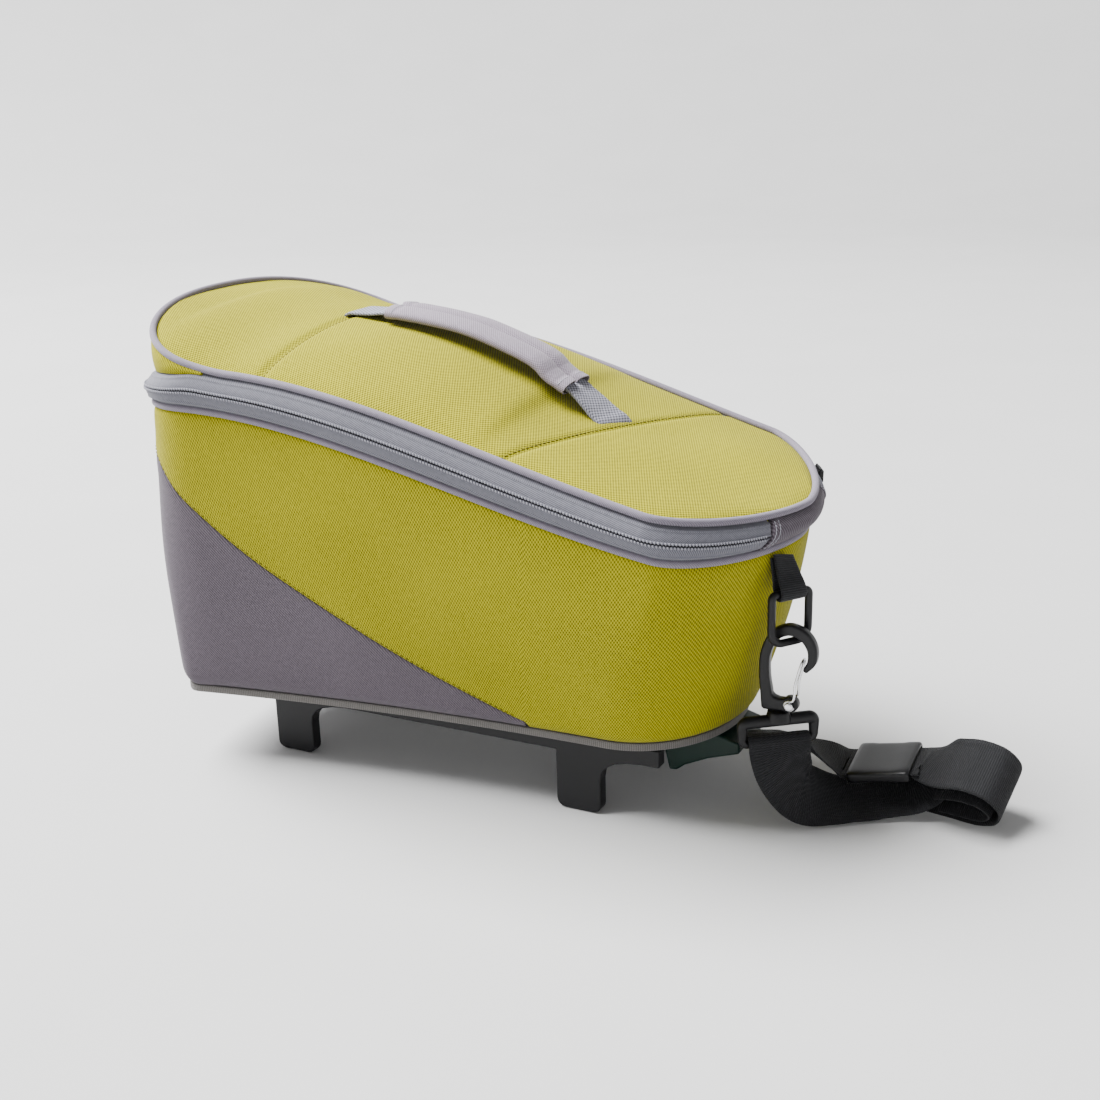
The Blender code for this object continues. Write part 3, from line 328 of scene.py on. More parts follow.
# Finishes
class Graph:
    """Small helper that adds and links the nodes of one material."""

    def __init__(self, name: str) -> None:
        """Start an empty material with a Principled shader."""
        self.material = bpy.data.materials.new(name)
        self.material.use_nodes = True
        self.tree = self.material.node_tree
        self.shader = self.tree.nodes["Principled BSDF"]

    def add(self, kind: str, *inputs: object, **settings: object) -> bpy.types.Node:
        """Add a node.

        Args:
            kind: Blender's name of the node without its prefix.
            inputs: Values or output sockets for the node's inputs in order; None leaves one as it is.
            settings: Properties of the node.

        Returns:
            The node.
        """
        node = self.tree.nodes.new("ShaderNode" + kind)
        for key, value in settings.items():
            setattr(node, key, value)
        for socket, value in zip(node.inputs, inputs):
            if isinstance(value, bpy.types.NodeSocket):
                self.tree.links.new(value, socket)
            elif value is not None:
                socket.default_value = value
        return node

    def math(self, operation: str, *inputs: object) -> bpy.types.NodeSocket:
        """Output of a Math node with the given inputs."""
        return self.add("Math", *inputs, operation=operation).outputs[0]

    def noise(self, vector: bpy.types.NodeSocket, scale: float, detail: float = 2.0) -> bpy.types.NodeSocket:
        """Output of a noise over a vector, from 0 to 1."""
        return self.add("TexNoise", vector, None, scale, detail).outputs[0]

    def mix(self, factor: object, low: Colour, high: Colour) -> bpy.types.NodeSocket:
        """Colour between two colours."""
        node = self.add("MixRGB", factor, (*low, 1), (*high, 1))
        return node.outputs[0]

    def bump(self, height: bpy.types.NodeSocket, strength: float, distance: float) -> None:
        """Drive the shader's normal from a height."""
        node = self.add("Bump", strength, distance)
        self.tree.links.new(height, node.inputs["Height"])
        self.tree.links.new(node.outputs[0], self.shader.inputs["Normal"])

    def set(self, **values: object) -> None:
        """Set the shader's own sockets by name, with spaces for underlines."""
        for key, value in values.items():
            socket = self.shader.inputs[key.replace("_", " ")]
            if isinstance(value, bpy.types.NodeSocket):
                self.tree.links.new(value, socket)
            else:
                socket.default_value = value


@dataclass(frozen=True)
class Finish:
    """Material that is built once, when a piece first needs it."""

    name: str

    def material(self) -> bpy.types.Material:
        """Material of this name, built if it isn't there yet.

        Returns:
            The material.
        """
        found = bpy.data.materials.get(self.name)
        if found:
            return found
        graph = Graph(self.name)
        self.dress(graph)
        return graph.material

    def dress(self, graph: Graph) -> None:
        """Add the nodes of this kind of finish.

        Args:
            graph: Graph that takes the nodes.
        """
        raise NotImplementedError


@dataclass(frozen=True)
class Cloth(Finish):
    """Woven finish that follows the piece's cloth coordinates, with painted shade in the hollows of its
    weave.
    """

    # Painted shade in the hollows between the yarns, then the yarns' own colour on their tops
    painted_gap_shade: Colour
    light: Colour
    weave: Weave
    pitch: float
    turn: float = 0.0
    relief: float = 0.12 * MM
    roughness: float = 0.88
    sheen: float = 0.1

    # Share of the crossing yarns in the relief, and the pitches that they move along for one across
    CROSSING = {Weave.CANVAS: (1.0, 0.5), Weave.TWILL: (0.45, 1.0), Weave.RIB: (0.22, 0.5)}
    # Herringbone: pitches from one turn of the zigzag to the next, and share of the crossing yarns
    ZIGZAG = (5.0, 0.35)
    # Shares of single yarns and of broad fading in the tone, on top of the weave's height that paints shade
    # into its hollows, and what brings it back to its middle
    YARN_TONE, BROAD_TONE, TONE_MIDDLE = 0.22, 0.22, 0.225

    def pattern(self, graph: Graph, across: bpy.types.NodeSocket,
                along: bpy.types.NodeSocket) -> bpy.types.NodeSocket:
        """Height of the weave from 0 to 1, for its relief and for the painted shade in its hollows.

        Args:
            graph: Graph that takes the nodes.
            across: First cloth coordinate in pitches.
            along: Second cloth coordinate in pitches.

        Returns:
            The height's socket.
        """
        full = 2 * math.pi
        if self.weave is Weave.HERRINGBONE:
            turn, share = self.ZIGZAG
            fold = graph.math("PINGPONG", along, turn)
            first = graph.math("SINE", graph.math("MULTIPLY", graph.math("ADD", across, fold), full))
            second = graph.math("SINE", graph.math("MULTIPLY", graph.math("MULTIPLY", along, 2.0), full))
        else:
            share, shift = self.CROSSING[self.weave]
            first = graph.math("SINE", graph.math("MULTIPLY", across, full))
            lean = graph.math("ADD", along, graph.math("MULTIPLY", across, shift))
            second = graph.math("SINE", graph.math("MULTIPLY", lean, full))
        total = graph.math("ADD", first, graph.math("MULTIPLY", second, share))
        return graph.math("MULTIPLY_ADD", total, 0.25, 0.5)

    def dress(self, graph: Graph) -> None:
        """Weave in relief, with painted shade in its hollows and the yarns' own colour on their tops, with
        uneven yarns and slight broad fading.

        Args:
            graph: Graph that takes the nodes.
        """
        uv = graph.add("UVMap", uv_map="cloth").outputs[0]
        turned = graph.add("Mapping", uv, None, (0, 0, math.radians(self.turn)), (1 / self.pitch,) * 3)
        parts = graph.add("SeparateXYZ", turned.outputs[0])
        height = self.pattern(graph, parts.outputs[0], parts.outputs[1])
        yarn = graph.noise(uv, 0.55 / self.pitch, 1.0)
        where = graph.add("TexCoord").outputs["Object"]
        broad = graph.noise(where, 14.0, 3.0)
        # Tone: the weave's height paints shade into its hollows; the yarn and broad noises vary it at random
        tone = graph.math("ADD", height, graph.math("MULTIPLY", yarn, self.YARN_TONE))
        tone = graph.math("ADD", tone, graph.math("MULTIPLY", broad, self.BROAD_TONE))
        tone = graph.add("Math", tone, self.TONE_MIDDLE, operation="SUBTRACT", use_clamp=True)
        rough = graph.math("MULTIPLY_ADD", yarn, -0.12, self.roughness + 0.06)
        graph.bump(graph.math("ADD", height, graph.math("MULTIPLY", yarn, 0.4)), 0.75, self.relief)
        graph.set(Base_Color=graph.mix(tone.outputs[0], self.painted_gap_shade, self.light), Roughness=rough,
                  Sheen_Weight=self.sheen, Sheen_Roughness=0.5, Specular_IOR_Level=0.12)


@dataclass(frozen=True)
class Moulded(Finish):
    """Plastic finish with a fine grain and slight rubbing."""

    colour: Colour
    worn: Colour
    roughness: float = 0.42
    grain: float = 0.05 * MM

    def dress(self, graph: Graph) -> None:
        """Fine grain, and broad patches that are rubbed smoother.

        Args:
            graph: Graph that takes the nodes.
        """
        where = graph.add("TexCoord").outputs["Object"]
        fine = graph.noise(where, 2200.0)
        broad = graph.noise(where, 55.0, 4.0)
        graph.bump(fine, 0.5, self.grain)
        graph.set(Base_Color=graph.mix(broad, self.colour, self.worn),
                  Roughness=graph.math("MULTIPLY_ADD", broad, 0.16, self.roughness - 0.08),
                  Specular_IOR_Level=0.24)


@dataclass(frozen=True)
class Metal(Finish):
    """Drawn steel with fine scratches that run upwards."""

    colour: Colour
    roughness: float = 0.22

    # Turns of the noise in a metre along X, Y and Z
    SCRATCHES = (4000.0, 4000.0, 250.0)

    def dress(self, graph: Graph) -> None:
        """Scratches from a noise that is drawn out along Z.

        Args:
            graph: Graph that takes the nodes.
        """
        where = graph.add("TexCoord").outputs["Object"]
        stretched = graph.add("Mapping", where, None, None, self.SCRATCHES).outputs[0]
        scratch = graph.noise(stretched, 1.0)
        dull = tuple(channel * 0.72 for channel in self.colour)
        graph.bump(scratch, 0.25, 0.02 * MM)
        graph.set(Base_Color=graph.mix(scratch, dull, self.colour), Metallic=1.0,
                  Roughness=graph.math("MULTIPLY_ADD", scratch, 0.2, self.roughness - 0.06))


@dataclass(frozen=True)
class Finishes:
    """Every finish of the bag."""

    # Cloth colours: painted shade between the yarns first, then the yarns' own colour on their tops
    green: Finish = Cloth("green_cloth", (0.040, 0.036, 0.0001), (0.375, 0.347, 0.0008),
                          Weave.CANVAS, 1.5 * MM, 38, sheen=0.03)
    grey: Finish = Cloth("grey_cloth", (0.012, 0.010, 0.0125), (0.132, 0.111, 0.134),
                         Weave.TWILL, 1.4 * MM, 42, sheen=0.06)
    binding: Finish = Cloth("binding_cloth", (0.045, 0.042, 0.040), (0.15, 0.142, 0.135), Weave.RIB, 1.2 * MM)
    piping: Finish = Cloth("piping_cloth", (0.060, 0.053, 0.068), (0.25, 0.225, 0.275),
                           Weave.TWILL, 1.0 * MM, 45)
    tape: Finish = Cloth("tape_cloth", (0.014, 0.014, 0.018), (0.20, 0.20, 0.235),
                         Weave.HERRINGBONE, 1.2 * MM)
    coil: Finish = Cloth("coil_cover", (0.022, 0.022, 0.028), (0.15, 0.15, 0.18), Weave.RIB, 0.9 * MM)
    thread: Finish = Cloth("grey_thread", (0.14, 0.14, 0.165), (0.34, 0.34, 0.38), Weave.RIB, 0.4 * MM, 20)
    olive: Finish = Cloth("olive_thread", (0.035, 0.030, 0.0005), (0.12, 0.10, 0.003),
                          Weave.RIB, 0.4 * MM, 20)
    web: Finish = Cloth("grey_webbing_cloth", (0.020, 0.020, 0.028), (0.30, 0.30, 0.36),
                        Weave.CANVAS, 2.0 * MM, 45)
    grip: Finish = Cloth("grip_cloth", (0.07, 0.058, 0.072), (0.29, 0.252, 0.30), Weave.CANVAS, 1.1 * MM, 30)
    black_web: Finish = Cloth("black_webbing_cloth", (0.0006, 0.0006, 0.0008), (0.021, 0.0215, 0.024),
                              Weave.RIB, 1.15 * MM, relief=0.22 * MM, roughness=0.62, sheen=0.05)
    teeth: Finish = Moulded("coil_teeth", (0.002, 0.002, 0.0025), (0.008, 0.008, 0.009), 0.4)
    black: Finish = Moulded("black_moulding", (0.0022, 0.0022, 0.0028), (0.006, 0.006, 0.007), 0.38)
    adapter: Finish = Moulded("adapter_moulding", (0.003, 0.003, 0.0035), (0.007, 0.007, 0.008), 0.48,
                              grain=0.08 * MM)
    lever: Finish = Moulded("green_moulding", (0.0002, 0.009, 0.0055), (0.0006, 0.017, 0.011), 0.4)
    steel: Finish = Metal("bright_steel", (0.78, 0.78, 0.80))


FINISH = Finishes()


def place(piece: bpy.types.Object, finish: Finish, nodes: Sequence[str] = (),
          body: Body = Body.BAG) -> None:
    """Dress a piece and tie it to the frame.

    Args:
        piece: The piece.
        finish: The finish it gets.
        nodes: CAD nodes that it stands for.
        body: The body it rides on.
    """
    piece.data.materials.clear()
    piece.data.materials.append(finish.material())
    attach(piece, body.value)
    if nodes:
        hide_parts(*nodes)
    LOG.info("%s: %d faces", piece.name, len(piece.data.polygons))


def bevel(piece: bpy.types.Object, width: float, segments: int, angle: float = 30.0) -> None:
    """Round the edges of a moulded piece.

    Args:
        piece: The piece.
        width: Width of the rounding in metres.
        segments: Steps of the rounding.
        angle: Least angle in degrees of an edge that is rounded.
    """
    step = piece.modifiers.new("round", "BEVEL")
    step.width = width
    step.segments = segments
    step.limit_method = "ANGLE"
    step.angle_limit = math.radians(angle)
    step.harden_normals = False
    step.use_clamp_overlap = True


# The form of the bag
@dataclass(frozen=True)
class Outline:
    """Plan of the bag at one level: a cubic width over the length, rounded off at both ends."""

    rear: float
    front: float
    widths: Tuple[float, ...]
    rear_corner: float
    front_corner: float
    front_power: float
    rear_power: float = 2.25

    def rounding(self, share: np.ndarray) -> np.ndarray:
        """Width factor (1 - back^p)^(1/p) (1 - ahead^q)^(1/q), where back and ahead count corner radii."""
        length = self.front - self.rear
        back = np.clip(1 - share * length / self.rear_corner, 0, 1)
        ahead = np.clip(1 - (1 - share) * length / self.front_corner, 0, 1)
        rear = (1 - back ** self.rear_power) ** (1 / self.rear_power)
        return rear * (1 - ahead ** self.front_power) ** (1 / self.front_power)

    def half_width(self, share: np.ndarray) -> np.ndarray:
        """Half of the width at a share of the length."""
        return BagForm.cubic(share, self.widths) * self.rounding(share)

    def point(self, station: np.ndarray) -> np.ndarray:
        """Point (x, y, 0) at a station."""
        share = BagForm.share(station)
        side = np.where(station < 0, -1.0, 1.0)
        x = self.rear + (self.front - self.rear) * share
        return np.stack([x, side * self.half_width(share), np.zeros_like(x)], -1)

    def normal(self, station: np.ndarray) -> np.ndarray:
        """Outward direction in plan, from points a little ahead and behind."""
        step = 0.004
        ahead = self.point((station + step + 1) % 2 - 1)
        behind = self.point((station - step + 1) % 2 - 1)
        along = ahead - behind
        return unit(np.stack([-along[..., 1], along[..., 0], np.zeros_like(along[..., 0])], -1))

    def inset(self, distance: float) -> "Outline":
        """The same plan drawn in by a distance."""
        return Outline(self.rear + distance, self.front - distance, tuple(w - distance for w in self.widths),
                       self.rear_corner - distance, self.front_corner - distance, self.front_power)


@dataclass(frozen=True)
class BagForm:
    """Sizes of the bag's body and its surfaces, the same as the CAD model's."""

    centre_shift: float
    length: float = 373 * MM
    lid_width: float = 222 * MM
    foot_width: float = 196 * MM
    rim_height: float = 174 * MM
    zip_band: float = 27 * MM
    lip_rise: float = 36 * MM
    lip_length: float = 84 * MM
    crown: float = 20 * MM
    clearance: float = 45 * MM
    wall_bulge: float = 4 * MM
    hem_rounding: float = 5 * MM
    binding_height: float = 4.5 * MM
    binding_width: float = 4 * MM
    piping_radius: float = 2.0 * MM
    band_bulge: float = 4.5 * MM
    gusset_rise: float = 3.0 * MM
    coil_width: float = 5.0 * MM
    hinge_half_width: float = 46 * MM
    rear_seam: float = 0.27
    front_seam: float = 0.72
    seam_skew: float = 0.065

    KNOTS = (0.0, 1 / 3, 2 / 3, 1.0)
    RIM_WIDTHS = (1.00, 0.93, 0.90, 0.80)
    FOOT_WIDTHS = (1.00, 0.81, 0.71, 0.70)
    RIM_RISE = (1.000, 0.965, 0.786, 0.628)
    BAND_RISE = (0.76, 0.98, 0.97, 0.76)
    # Columns: share of length, share of wall height
    COLOUR_SEAM = ((0.00, 0.90), (0.06, 0.84), (0.12, 0.71), (0.23, 0.53), (0.35, 0.39), (0.49, 0.24),
                   (0.60, 0.13), (0.70, 0.03))
    # Columns: share of length, height / crown
    CROWN_LINE = ((0.00, 0.05), (0.06, 0.50), (0.15, 0.86), (0.27, 0.93), (0.42, 1.00), (0.58, 0.70),
                  (0.72, 0.20), (0.84, 0.17), (1.00, 0.05))

    @staticmethod
    def share(station: np.ndarray) -> np.ndarray:
        """Share of the length at a station: (1 - cos(pi |s|)) / 2."""
        return (1 - np.cos(np.pi * np.abs(station))) / 2

    @staticmethod
    def station(share: float) -> float:
        """Station on the far side at a share of the length."""
        return math.acos(1 - 2 * share) / math.pi

    @classmethod
    def cubic(cls, share: np.ndarray, values: Sequence[float]) -> np.ndarray:
        """Lagrange cubic through the four values at the even knots."""
        total = np.zeros_like(np.asarray(share, float))
        for i, value in enumerate(values):
            weight = 1.0
            for j, knot in enumerate(cls.KNOTS):
                if j != i:
                    weight = weight * (share - knot) / (cls.KNOTS[i] - knot)
            total = total + weight * value
        return total

    def plan(self, rear: float, front: float, widths: Sequence[float], corners: Tuple[float, float],
             power: float) -> Outline:
        """Outline from ends measured along the bag from its middle, and two corner radii in mm."""
        return Outline(rear + self.centre_shift, front + self.centre_shift, tuple(widths), corners[0] * MM,
                       corners[1] * MM, power)

    @property
    def rim(self) -> Outline:
        """Plan of the tub's top edge."""
        half = self.lid_width / 2
        return self.plan(-self.length / 2, self.length / 2,
                         [w * half for w in self.RIM_WIDTHS], (54, 46), 1.7)

    @property
    def lid(self) -> Outline:
        """Plan of the lid's edge."""
        half = self.lid_width / 2
        return self.plan(-self.length / 2 + 4.5 * MM, self.length / 2 + 3.5 * MM,
                         [w * half for w in self.RIM_WIDTHS], (56, 52), 1.6)

    @property
    def foot(self) -> Outline:
        """Plan of the tub's hem."""
        half = self.foot_width / 2
        return self.plan(-self.length / 2 + 3 * MM, self.length / 2 - 29 * MM,
                         [w * half for w in self.FOOT_WIDTHS], (28, 57), 2.0)

    @property
    def wall_foot(self) -> float:
        """Height of the wall's lower edge."""
        return self.clearance + self.binding_height + GAP

    def rim_z(self, share: np.ndarray) -> np.ndarray:
        """Height of the tub's top edge."""
        return self.clearance + self.rim_height * self.cubic(share, self.RIM_RISE)

    def lip(self, share: np.ndarray) -> np.ndarray:
        """Extra rise of the lid's edge round the wide end: a falling parabola."""
        return self.lip_rise * np.maximum(0, 1 - share * self.length / self.lip_length) ** 2

    def tape_top(self, share: np.ndarray) -> np.ndarray:
        """Height of the zip band's top edge."""
        return self.rim_z(share) + self.zip_band * self.cubic(share, self.BAND_RISE)

    def lid_edge(self, share: np.ndarray) -> np.ndarray:
        """Height of the lid's edge."""
        return self.tape_top(share) + self.lip(share)

    def wall_point(self, station: np.ndarray, height: np.ndarray) -> np.ndarray:
        """Outer face of the tub: the hem's plan drawn to the rim's, plus a parabola of bulge."""
        flat = between(self.foot.point(station), self.rim.point(station), height)
        hem = np.maximum(0, 1 - height * self.rim_height / (2 * self.hem_rounding)) ** 2
        out = self.wall_bulge * 4 * height * (1 - height) - self.hem_rounding * 0.5 * hem
        flat = flat + self.rim.normal(station) * out[..., None]
        flat[..., 2] = self.wall_foot + (self.rim_z(self.share(station)) - self.wall_foot) * height
        return flat

    def band_point(self, station: np.ndarray, height: np.ndarray) -> np.ndarray:
        """Outer face of the zip band: its top edge rises with the lip by r exp(-(r / 3.9 mm)^2)."""
        share = self.share(station)
        low = self.rim_z(share) + 2 * self.piping_radius + 2 * GAP
        rise = self.lip(share)
        kept = rise * np.exp(-(rise / (1.3 * self.gusset_rise)) ** 2)
        high = self.tape_top(share) + kept - self.piping_radius - GAP
        flat = between(self.rim.point(station), self.lid.point(station), height)
        out = self.band_bulge * 4 * height * (1 - height) + self.piping_radius * 0.4
        flat = flat + self.rim.normal(station) * out[..., None]
        flat[..., 2] = low + (high - low) * height
        return flat

    def gusset_point(self, station: np.ndarray, height: np.ndarray) -> np.ndarray:
        """Outer face of the lid's side wall round the wide end."""
        share = self.share(station)
        low = self.tape_top(share) - self.piping_radius
        high = self.lid_edge(share) - self.piping_radius * 0.5
        flat = self.lid.point(station) + self.rim.normal(station) * self.piping_radius * 0.4
        flat[..., 2] = low + (high - low) * height
        return flat

    def lid_z(self, share: np.ndarray, across: np.ndarray) -> np.ndarray:
        """Lid's top face: edge + crown line (1 - |a|^2.2) rounding."""
        line = smooth(np.array(self.CROWN_LINE), 8)
        crown = self.crown * np.interp(share, line[:, 0], line[:, 1])
        dome = np.maximum(1 - np.abs(across) ** 2.2, 0) * self.lid.rounding(share)
        return self.lid_edge(share) + crown * dome + self.piping_radius * 0.5

    def seam_height(self, station: np.ndarray) -> np.ndarray:
        """Height of the seam between the wedge and the green side."""
        line = smooth(np.array(self.COLOUR_SEAM), 8)
        return np.interp(self.share(station), line[:, 0], line[:, 1])

    def station_of(self, half_width: float) -> float:
        """Station near the nose where the rim has this half width, by halving."""
        low, high = 0.5, 1.0
        for _ in range(40):
            middle = (low + high) / 2
            wide = self.rim.half_width(self.share(np.array(middle))) > half_width
            low, high = (middle, high) if wide else (low, middle)
        return low

    @property
    def zip_end(self) -> float:
        """Station where the zip ends and the hinge patch starts."""
        return self.station_of(self.hinge_half_width)


# Columns: turns per metre along X, Y and Z, phase
PADDING = ((9.0, 4.0, 6.0, 0.4), (-5.0, 8.0, 11.0, 2.1), (14.0, -7.0, 3.0, 4.0), (3.0, 12.0, -9.0, 1.3))


@dataclass
class TubShell:
    """Green side wall, grey wedge, floor and hem binding."""

    form: BagForm
    columns: int = 420
    rows: int = 44
    thickness: float = 3.6 * MM
    pinch: float = 1.1 * MM
    pinch_run: float = 1.6 * MM
    unevenness: float = 0.7 * MM
    tuck: float = 1.5 * MM
    calm_run: float = 14 * MM
    tuck_turn: Tuple[float, float] = (0.3, 1.35)
    stitch_offset: float = 2.2 * MM
    stitch_pitch: float = 3.3 * MM
    stitch_sink: float = 0.1 * MM
    stitch: Tuple[float, float, float] = (1.15 * MM, 0.3 * MM, 0.24 * MM)
    floor_rise: float = 3.2 * MM
    floor_thickness: float = 2.6 * MM
    floor_sag: float = 0.2 * MM

    def panel(self, name: str, stations: np.ndarray, low: np.ndarray, high: np.ndarray, closed: bool,
              tucked: bool) -> bpy.types.Object:
        """Padded panel between two heights: the wall, drawn in by pinch exp(-d / run) at its seams.

        Args:
            name: Name of the piece.
            stations: Stations of its columns.
            low: Lower edge at each station.
            high: Upper edge at each station.
            closed: Whether it runs all the way round.
            tucked: Whether its top edge rolls in under the piping.

        Returns:
            The piece.
        """
        rise = (1 - np.cos(np.linspace(0, np.pi, self.rows))) / 2
        height = low[:, None] + (high - low)[:, None] * rise[None]
        station = np.broadcast_to(stations[:, None], height.shape)
        outer = self.form.wall_point(station, height)
        scale = (self.form.rim_z(self.form.share(station)) - self.form.wall_foot)
        from_low = (height - low[:, None]) * scale
        from_high = (high[:, None] - height) * scale
        normal = self.form.rim.normal(station)
        drawn = self.pinch * (np.exp(-from_low / self.pinch_run) + np.exp(-from_high / self.pinch_run))
        calm = np.minimum(1, np.minimum(from_low, from_high) / self.calm_run)
        uneven = self.unevenness * ripple(outer, PADDING) * calm
        outer = outer + normal * (uneven - drawn)[..., None]
        if tucked:
            turn = np.linspace(*self.tuck_turn, 5)
            top = outer[:, -1:]
            roll = -normal[:, :1] * (self.tuck * (1 - np.cos(turn)))[None, :, None]
            roll = roll + UP * (self.tuck * np.sin(turn))[None, :, None]
            outer = np.concatenate([outer, top + roll], 1)
            normal = np.broadcast_to(normal[:, :1], outer.shape)
        middle = self.form.wall_point(stations, np.full(len(stations), 0.5))
        loop = np.concatenate([middle, middle[:1]]) if closed else middle
        along = run_along(loop, 0)
        sheet = np.concatenate([outer, outer[:1]]) if closed else outer
        uv = cloth_plane(along, sheet)
        uv[..., 1] += sheet[:, :1, 2]
        return wall(name, outer, -normal * self.thickness, closed, uv)

    def build(self) -> None:
        """Make and dress the four pieces of the tub."""
        form = self.form
        step = 0.7 * GAP / form.rim_height
        limit = form.station(form.COLOUR_SEAM[-1][0])
        stations = np.linspace(-1, 1, self.columns, endpoint=False)
        inside = np.abs(stations) <= limit
        low = np.where(inside, form.seam_height(stations) + step, 0.0)
        side = self.panel("green_side", stations, low, np.ones_like(low), True, True)
        place(side, FINISH.green, ["tub_side_panel"])
        stations = stations[inside]
        wedge = self.panel("grey_wedge", stations, np.zeros_like(stations), form.seam_height(stations) - step,
                           False, False)
        place(wedge, FINISH.grey, ["tub_wedge_panel"])
        self.stitches(limit)
        self.hem()

    def stitches(self, limit: float) -> None:
        """Row of stitches on the green side, just above the wedge seam.

        Args:
            limit: Station where the seam meets the hem.
        """
        fine = np.linspace(-limit, limit, 3000) * 0.985
        height = self.form.seam_height(fine) + self.stitch_offset / self.form.rim_height
        line = self.form.wall_point(fine, height)
        drawn = self.pinch * math.exp(-self.stitch_offset / self.pinch_run)
        line = line - self.form.rim.normal(fine) * (drawn - self.stitch_sink)
        places = np.arange(self.stitch_pitch, run_along(line, 0)[-1], self.stitch_pitch)
        centres, stations = read_at(line, places, fine[:, None])
        outward = self.form.rim.normal(stations[:, 0])
        row = scatter("wedge_seam_stitches", centres, np.gradient(centres, axis=0), outward, self.stitch)
        place(row, FINISH.olive)

    def hem(self) -> None:
        """Rounded tape round the hem, and the slightly sagging floor inside it."""
        form = self.form
        stations = np.linspace(-1, 1, self.columns, endpoint=False)
        plan = form.foot.inset(form.hem_rounding * 0.5)
        edge = plan.point(stations) + UP * (form.clearance + form.binding_height / 2)
        edge = edge - plan.normal(stations) * form.binding_width / 2
        tape = slab(form.binding_width, form.binding_height, 4)
        points = sweep(edge, plan.normal(stations), tape, True)
        place(mesh_of("hem_binding", points, closed=True), FINISH.binding, ["bottom_binding"])

        floor = plan.inset(form.binding_width + GAP)
        shares = np.concatenate([[0.004], np.linspace(0.02, 0.98, 60), [0.996]])
        across = np.linspace(-1, 1, 40)
        y = floor.half_width(shares)[:, None] * across
        x = np.broadcast_to((floor.rear + (floor.front - floor.rear) * shares)[:, None], y.shape)
        grid = np.stack([x, y, np.full(y.shape, form.clearance + self.floor_rise)], -1)
        grid[..., 2] += self.floor_sag * ripple(grid, PADDING)
        inward = np.broadcast_to(-UP * self.floor_thickness, grid.shape)
        piece = wall("tub_floor", grid, inward, False, grid[..., :2])
        place(piece, FINISH.grey, ["tub_bottom"])


